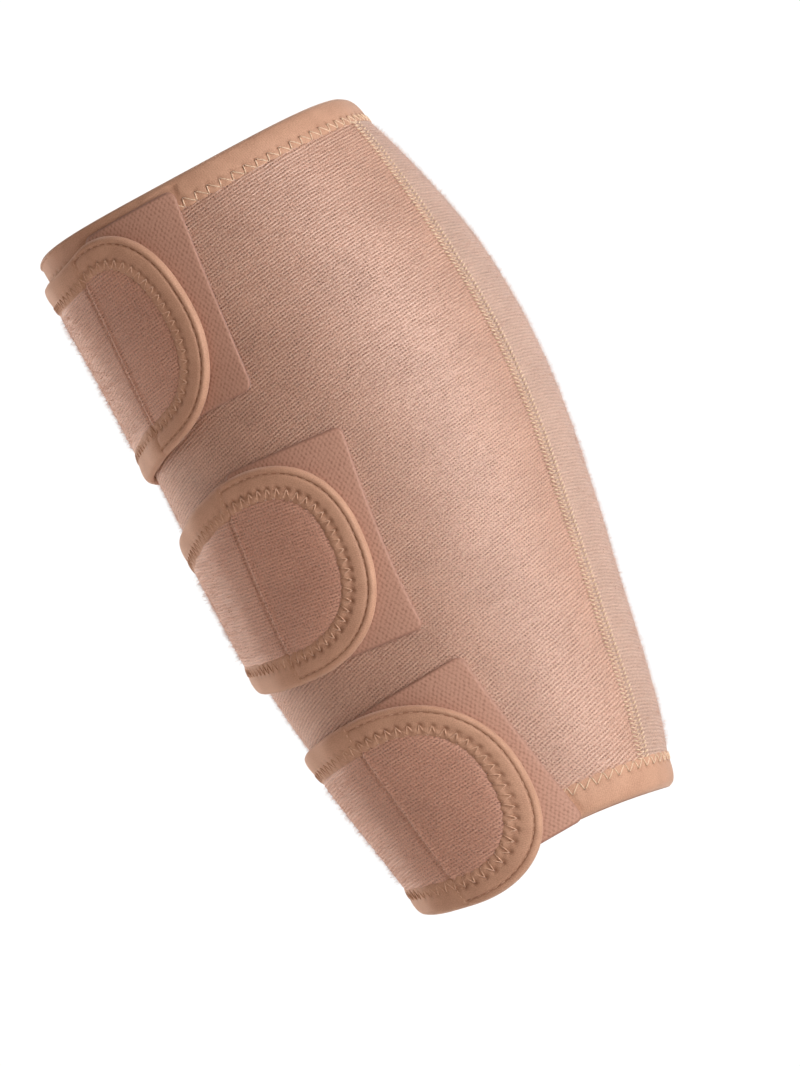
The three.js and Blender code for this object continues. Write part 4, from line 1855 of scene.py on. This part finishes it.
@dataclass
class HookPatch:
    """Thin hook tape under a tab's round end, stuck flat on the shin panel.

    The cloth and tape that it covers reach past its edge by margin, and fade over the length fade.
    """

    name: str
    s: float
    z: float
    length: float
    width: float
    tilt: float
    lean: float
    corner: float = 3.0
    columns: int = 48
    rows: int = 72
    rim_from: float = 0.1
    rim: float = 0.5
    rim_dip: Ripple = Ripple(height=-0.12, away=0.0, width=0.4)
    margin: float = 2.0
    fade: float = 1.5
    uneven: float = 0.06
    uneven_size: float = 16.0
    seed: int = 21

    def cover(self, s: Array, z: Array) -> Array:
        """Finds what the patch covers.

        Args:
            s: Places round the leg.
            z: Heights.

        Returns:
            1 under the patch, 0 away from it.
        """
        tilt = math.radians(self.tilt)
        ways = np.array([[math.cos(tilt), math.sin(tilt) + self.lean], [-math.sin(tilt), math.cos(tilt)]])
        back = np.linalg.inv(ways)
        along = back[0, 0] * (s - self.s) + back[0, 1] * (z - self.z)
        across = back[1, 0] * (s - self.s) + back[1, 1] * (z - self.z)
        return (ease(self.length / 2.0 + self.margin - np.abs(along), 0.0, self.fade)
                * ease(self.width / 2.0 + self.margin - np.abs(across), 0.0, self.fade))

    def build(self, material: Material) -> Piece:
        """Makes the patch.

        Args:
            material: Its finish.

        Returns:
            The patch's object.
        """
        grid = GridMesh(self.columns, self.rows)
        half = np.array([self.length / 2.0, self.width / 2.0])
        along = np.linspace(-half[0], half[0], self.columns + 1)[:, None]
        across = np.linspace(-half[1], half[1], self.rows + 1)[None, :]
        along, across = np.broadcast_arrays(along, across)
        sides = ((along, half[0]), (across, half[1]))
        past = [np.maximum(np.abs(x) - (h - self.corner), 0.0) for x, h in sides]
        far = np.hypot(*past)
        shrink = np.where(far > 0.0, np.maximum(*past) / np.maximum(far, 1e-9), 1.0)
        flat = [np.sign(x) * (np.abs(x) - p + p * shrink) for x, p in zip((along, across), past)]
        tilt = math.radians(self.tilt)
        s = self.s + flat[0] * math.cos(tilt) + flat[1] * (math.sin(tilt) + self.lean)
        z = self.z - flat[0] * math.sin(tilt) + flat[1] * math.cos(tilt)
        straight = np.minimum(half[0] - np.abs(flat[0]), half[1] - np.abs(flat[1]))
        rounded = self.corner - far * shrink
        inset = np.where(np.minimum(*past) > 0.0, rounded, straight)
        offset = (STACK.clearance + STACK.patch + self.rim_dip.at(inset)
                  + self.uneven * wobble(s, z, self.uneven_size, self.seed))
        grid.lay(FORM.place(s / FORM.radius(z), z, offset), np.stack(flat, axis=-1) * MM)
        # Marks the rim that the hook tape's finish darkens with painted shade.
        grid.note("rim", 1.0 - ease(inset, self.rim_from, self.rim))
        grid.close(caps=False)
        patch = grid.piece(self.name, material)
        thicken(patch, STACK.patch)
        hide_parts(self.name)
        return patch


PATCHES = (
    HookPatch(name="hook_patch_top", s=59.3, z=82.1, length=37.0, width=69.0, tilt=2.8, lean=0.006),
    HookPatch(name="hook_patch_middle", s=67.5, z=-9.0, length=45.0, width=69.0, tilt=6.7, lean=0.06),
    HookPatch(name="hook_patch_bottom", s=60.0, z=-91.3, length=45.5, width=64.0, tilt=-2.0, lean=0.155),
)


# Seams and stitched lines


@dataclass
class FlatSeam:
    """Flat seam between two panels: two columns of short thick loops, with thin threads across."""

    name: str
    mirrored: bool
    pitch: float = 1.4
    half: float = SEAM_HALF
    loop: float = 1.9
    base: float = 0.2
    loop_thread: Thread = Thread(radius=0.32, rise=0.28)
    cross_thread: Thread = Thread(radius=0.14, rise=0.05, sink=0.1)

    def heights(self) -> Array:
        """Heights of the stitches, between the tapes of the two rims.

        Returns:
            The heights, evenly spaced.
        """
        low, high = (float(rim(FORM.seam(np.array(level)))) for rim, level in
                     ((FORM.bottom_rim, FORM.bottom), (FORM.top_rim, FORM.top)))
        return np.arange(low + TAPE_WIDTH, high - TAPE_WIDTH, self.pitch)

    def place(self, across: float, z: Array) -> Array:
        """Turn and height of places beside the seam."""
        turn = FORM.seam(z) + across / FORM.radius(z)
        return np.stack([FULL_TURN - turn if self.mirrored else turn, z], axis=1)

    def strokes(self, rows: list[tuple[float, float, float, float]]) -> tuple[Array, Array]:
        """Starts and ends of strokes that repeat up the seam.

        Args:
            rows: Places beside the seam of each stroke's two ends, and their shifts up the seam.

        Returns:
            Turn and height of each start and of each end.
        """
        z = self.heights()
        starts = [self.place(left, z + low) for left, _, low, _ in rows]
        ends = [self.place(right, z + high) for _, right, _, high in rows]
        return np.concatenate(starts), np.concatenate(ends)

    def build(self, material: Material) -> list[Piece]:
        """Makes the seam's loops and cross threads.

        Args:
            material: The thread's finish.

        Returns:
            Both objects.
        """
        half, inner, quarter = self.half, self.half - self.loop, self.pitch / 4.0
        loops = [(-half, -inner, quarter, -quarter), (inner, half, -quarter, quarter)]
        cross = [(-inner, inner, -quarter, quarter), (-inner, inner, 2.0 * quarter, 0.0)]
        pieces = []
        for kind, rows, thread in (("loops", loops, self.loop_thread), ("cross", cross, self.cross_thread)):
            start, end = self.strokes(rows)
            base = np.full((len(start), 2), self.base)
            piece = thread.strokes(f"{self.name}_{kind}", start, end, base, material)
            pieces.append(piece)
        return pieces


@dataclass
class TabLineStitch:
    """Running stitch of the line across a tab, over the tape at both ends.

    Each stitch takes the share sewn of the pitch. The line is drawn past its ends and kept where it is deeper
    than margin in from the tab's edge.
    """

    tab: Tab
    thread: Thread = Thread(radius=0.14, rise=0.1)
    pitch: float = 1.9
    sewn: float = 0.62
    past: float = 14.0
    aside: float = 0.55
    margin: float = 1.2
    tape_sink: float = 0.3
    cloth_sink: float = 0.12

    def build(self, material: Material) -> Piece:
        """Makes the stitches.

        Args:
            material: The thread's finish.

        Returns:
            The stitches' object.
        """
        tab, stitch = self.tab, self.pitch * self.sewn
        top, bottom = np.array(tab.line_top), np.array(tab.line_bottom)
        length = float(np.linalg.norm(bottom - top))
        way = (bottom - top) / length
        line = top + np.array([way[1], -way[0]]) * self.aside
        begin = np.arange(-self.past, length + self.past, self.pitch)[:, None]
        middles = line + way * (begin + stitch / 2.0)
        depth = np.linalg.norm(middles[:, None] - tab.outline()[None], axis=2).min(axis=1)
        reaches = inside_outline(middles, tab_panel_edge()) & (depth > self.margin)
        begin, depth = begin[reaches], depth[reaches]
        taped = crown_height(PLAIN_CROWN, depth) - self.tape_sink
        crown = np.where(depth < TAPE_WIDTH, taped, -self.cloth_sink)
        places, base = [], []
        for points in (line + way * begin, line + way * (begin + stitch)):
            turn = points[:, 0] / FORM.radius(points[:, 1])
            places.append(np.stack([turn, points[:, 1]], axis=1))
            base.append(STACK.outer(turn) + tab.lift(points[:, 0], points[:, 1]) + crown)
        stitches = self.thread.strokes(f"tab_line_{tab.name}", *places, np.stack(base, axis=1), material)
        return stitches


# Studio


class Lamp(NamedTuple):
    """Soft square lamp that faces the support: place and side in metres, power in watts, sRGB hex colour."""

    name: str
    spot: tuple[float, float, float]
    size: float
    power: float
    colour: str = "FFFFFF"


LAMPS = (
    Lamp(name="key", spot=(1.05, -1.15, -0.2), size=0.8, power=23.0),
    Lamp(name="side", spot=(1.4, -0.5, 0.2), size=0.8, power=4.2),
    Lamp(name="left_edge", spot=(-1.08, 0.97, 0.1), size=1.7, power=20.5, colour="FFF0E6"),
    Lamp(name="right_edge", spot=(0.95, 1.35, 0.1), size=1.2, power=4.5, colour="FFF6F6"),
    Lamp(name="white_wall", spot=(0.0, 1.5, 0.0), size=3.2, power=17.0),
)


@dataclass(frozen=True)
class Studio:
    """Pale floor, soft light and the camera."""

    floor_z: float = -0.36
    floor_radius: float = 1.6
    floor_sides: int = 96
    floor_colour: str = "F4F2EF"
    floor_glow: float = 0.7
    target: tuple[float, float, float] = (0.0, 0.0, -0.0113)
    distance: float = 1.5
    elevation: float = -4.5
    roll: float = 28.0
    lens: float = 154.2
    sensor: float = 36.0
    surround: str = "FFD8C0"
    surround_strength: float = 0.21
    backdrop: str = "FFFFFF"
    backdrop_strength: float = 1.05

    def camera(self) -> None:
        """Sets the camera at the angle of the photograph."""
        data = bpy.data.cameras.new("camera")
        data.lens = self.lens
        data.sensor_width = self.sensor
        camera = bpy.data.objects.new("camera", data)
        bpy.context.scene.collection.objects.link(camera)
        rise, roll = math.radians(self.elevation), math.radians(self.roll)
        back = Vector((0.0, -math.cos(rise), math.sin(rise)))
        level = Vector((1.0, 0.0, 0.0))
        upright = back.cross(level)
        right = level * math.cos(roll) - upright * math.sin(roll)
        up = level * math.sin(roll) + upright * math.cos(roll)
        turned = Matrix((right, up, back)).transposed()
        spot = Vector(self.target) + back * self.distance
        camera.matrix_world = Matrix.Translation(spot) @ turned.to_4x4()
        bpy.context.scene.camera = camera

    def floor(self) -> None:
        """Lays a pale round floor well below the support."""
        bm = bmesh.new()
        bmesh.ops.create_circle(bm, cap_ends=True, segments=self.floor_sides, radius=self.floor_radius,
                                matrix=Matrix.Translation((0.0, 0.0, self.floor_z)))
        mesh = bpy.data.meshes.new("floor")
        bm.to_mesh(mesh)
        bm.free()
        material, tree = new_material("pale_floor_paint")
        colour = linear(self.floor_colour)
        paint = add(tree, "ShaderNodeBsdfPrincipled", {"Base Color": colour, "Roughness": 0.9}).outputs[0]
        bright = add(tree, "ShaderNodeEmission", {"Color": colour, "Strength": 1.0}).outputs[0]
        seen = add(tree, "ShaderNodeLightPath", {}).outputs["Is Camera Ray"]
        share = calculate(tree, "MULTIPLY", seen, self.floor_glow)
        both = add(tree, "ShaderNodeMixShader", {0: share, 1: paint, 2: bright})
        add(tree, "ShaderNodeOutputMaterial", {"Surface": both.outputs[0]})
        mesh.materials.append(material)
        floor = bpy.data.objects.new("floor", mesh)
        bpy.context.scene.collection.objects.link(floor)

    @staticmethod
    def hang(lamp: Lamp) -> None:
        """Adds a lamp.

        Args:
            lamp: The lamp.
        """
        data = bpy.data.lights.new(lamp.name, "AREA")
        data.size = lamp.size
        data.energy = lamp.power
        data.color = linear(lamp.colour)[:3]
        light = bpy.data.objects.new(lamp.name, data)
        light.location = lamp.spot
        light.rotation_euler = (-Vector(lamp.spot)).to_track_quat("-Z", "Y").to_euler()
        bpy.context.scene.collection.objects.link(light)

    def light(self) -> None:
        """Sets the white surround and the lamps."""
        world = bpy.data.worlds.new("studio")
        world.use_nodes = True
        tree = world.node_tree
        tree.nodes.clear()
        seen = add(tree, "ShaderNodeLightPath", {}).outputs["Is Camera Ray"]
        shades = ((self.surround, self.surround_strength), (self.backdrop, self.backdrop_strength))
        soft, white = (add(tree, "ShaderNodeBackground", {"Color": linear(colour), "Strength": strength})
                       for colour, strength in shades)
        both = add(tree, "ShaderNodeMixShader", {0: seen, 1: soft.outputs[0], 2: white.outputs[0]})
        add(tree, "ShaderNodeOutputWorld", {"Surface": both.outputs[0]})
        bpy.context.scene.world = world
        bpy.context.scene.view_settings.view_transform = "Standard"
        for lamp in LAMPS:
            self.hang(lamp)


# Assembly


class TabSewing(NamedTuple):
    """Zigzag of a tab's tape: pitch, depth of its points near the fold, and how far they pull the tape in."""

    pitch: float
    high: float
    dent: float


TAB_SEWING = (
    TabSewing(pitch=3.2, high=7.0, dent=0.45),
    TabSewing(pitch=3.2, high=6.8, dent=0.75),
    TabSewing(pitch=3.6, high=6.6, dent=0.8),
)


@dataclass
class CalfSupport:
    """The whole support."""

    knit: KnitNeoprene = field(default_factory=lambda: KnitNeoprene("knit_faced_neoprene"))
    calf_knit: KnitNeoprene = field(default_factory=lambda: KnitNeoprene(
        "knit_faced_neoprene_soft", contrast=0.6, light="E6C8B6", middle="C9A694", dark="77503E",
        sheen=0.4, sheen_tint="FFE6DE"))
    tab_knit: KnitNeoprene = field(default_factory=lambda: KnitNeoprene(
        "knit_faced_neoprene_loop", contrast=0.7, light="EAB9A1", middle="CE937B", dark="743E2A",
        sheen=0.6, sheen_tint="FBE3D3"))
    tape: BindingTape = field(default_factory=BindingTape)
    hook: HookTape = field(default_factory=HookTape)
    nap: NapFibre = field(default_factory=NapFibre)
    tape_thread: SewingThread = field(
        default_factory=lambda: SewingThread("tape_coloured_thread", light="E3BCA1", dark="C79E83"))
    seam_thread: SewingThread = field(
        default_factory=lambda: SewingThread("straw_coloured_thread", light="F6DFC5", dark="DDBC9D"))
    rim_zigzag: Thread = Thread(radius=0.2, rise=0.18)
    tab_zigzag: Thread = Thread(radius=0.21, rise=0.1)
    groove: Thread = Thread(radius=0.14, rise=0.06)

    @staticmethod
    def bindings() -> tuple[list[Binding], list[Binding]]:
        """Plans the folded tapes.

        Returns:
            The tapes of the rims and of the tabs, from the top down.
        """
        rims = [Binding(f"{name}_binding", RimLine(name == "top"), pitch=4.4, rise_share=0.25,
                        plain_dent=0.36) for name in ("top", "bottom")]
        tabs = [Binding(f"tab_binding_{tab.name}", TabLine(tab, below), pitch=sewing.pitch,
                        zigzag_high=sewing.high, dent=sewing.dent, plain_dent=0.13)
                for tab, below, sewing in zip(TABS, (*TABS[1:], None), TAB_SEWING)]
        return rims, tabs

    def build(self) -> None:
        """Makes every piece in order."""
        tape, tape_thread = self.tape.material(), self.tape_thread.material()
        seam_thread, nap, hook = self.seam_thread.material(), self.nap.material(), self.hook.material()
        shin_plan = WrapPanel("shin_panel", Grain.SHIN, columns=150, row_climb=(13.0, 8.0))
        calf_plan = WrapPanel("calf_panel", Grain.CALF, columns=64, row_climb=(-8.0, 0.0))
        shin = shin_plan.build(self.knit.material())
        calf = calf_plan.build(self.calf_knit.material())
        tabs = TabPanel().build(self.tab_knit.material())
        rims, ends = self.bindings()
        rim_tapes, tab_tapes = ([binding.build(tape) for binding in group] for group in (rims, ends))
        rim_zigzags = [binding.stitch(self.rim_zigzag, seam_thread) for binding in rims]
        tab_zigzags = [binding.stitch(self.tab_zigzag, tape_thread) for binding in ends]
        grooves = [binding.groove_stitch(self.groove, tape_thread) for binding in ends]
        for patch in PATCHES:
            patch.build(hook)
        seams = [piece for name, mirrored in (("near_seam", False), ("far_seam", True))
                 for piece in FlatSeam(name, mirrored).build(seam_thread)]
        lines = [TabLineStitch(tab).build(tape_thread) for tab in TABS]
        shin_nap = Nap(count=36000, seed=31, longest=2.3).build(shin, "shin_nap", nap)
        calf_nap = Nap(count=24000, seed=32, longest=2.6, radius=0.032).build(calf, "calf_nap", nap)
        tab_fibres = Nap(count=42000, seed=33, shortest=0.6, longest=3.0, radius=0.042)
        tab_nap = tab_fibres.build(tabs, "tab_nap", nap)


def main() -> None:
    """Builds the support and its studio."""
    logging.basicConfig(level=logging.INFO, format="%(name)s %(message)s")
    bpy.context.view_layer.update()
    studio = Studio()
    studio.camera()
    CalfSupport().build()
    studio.floor()
    studio.light()


if __name__ == "__main__":
    main()
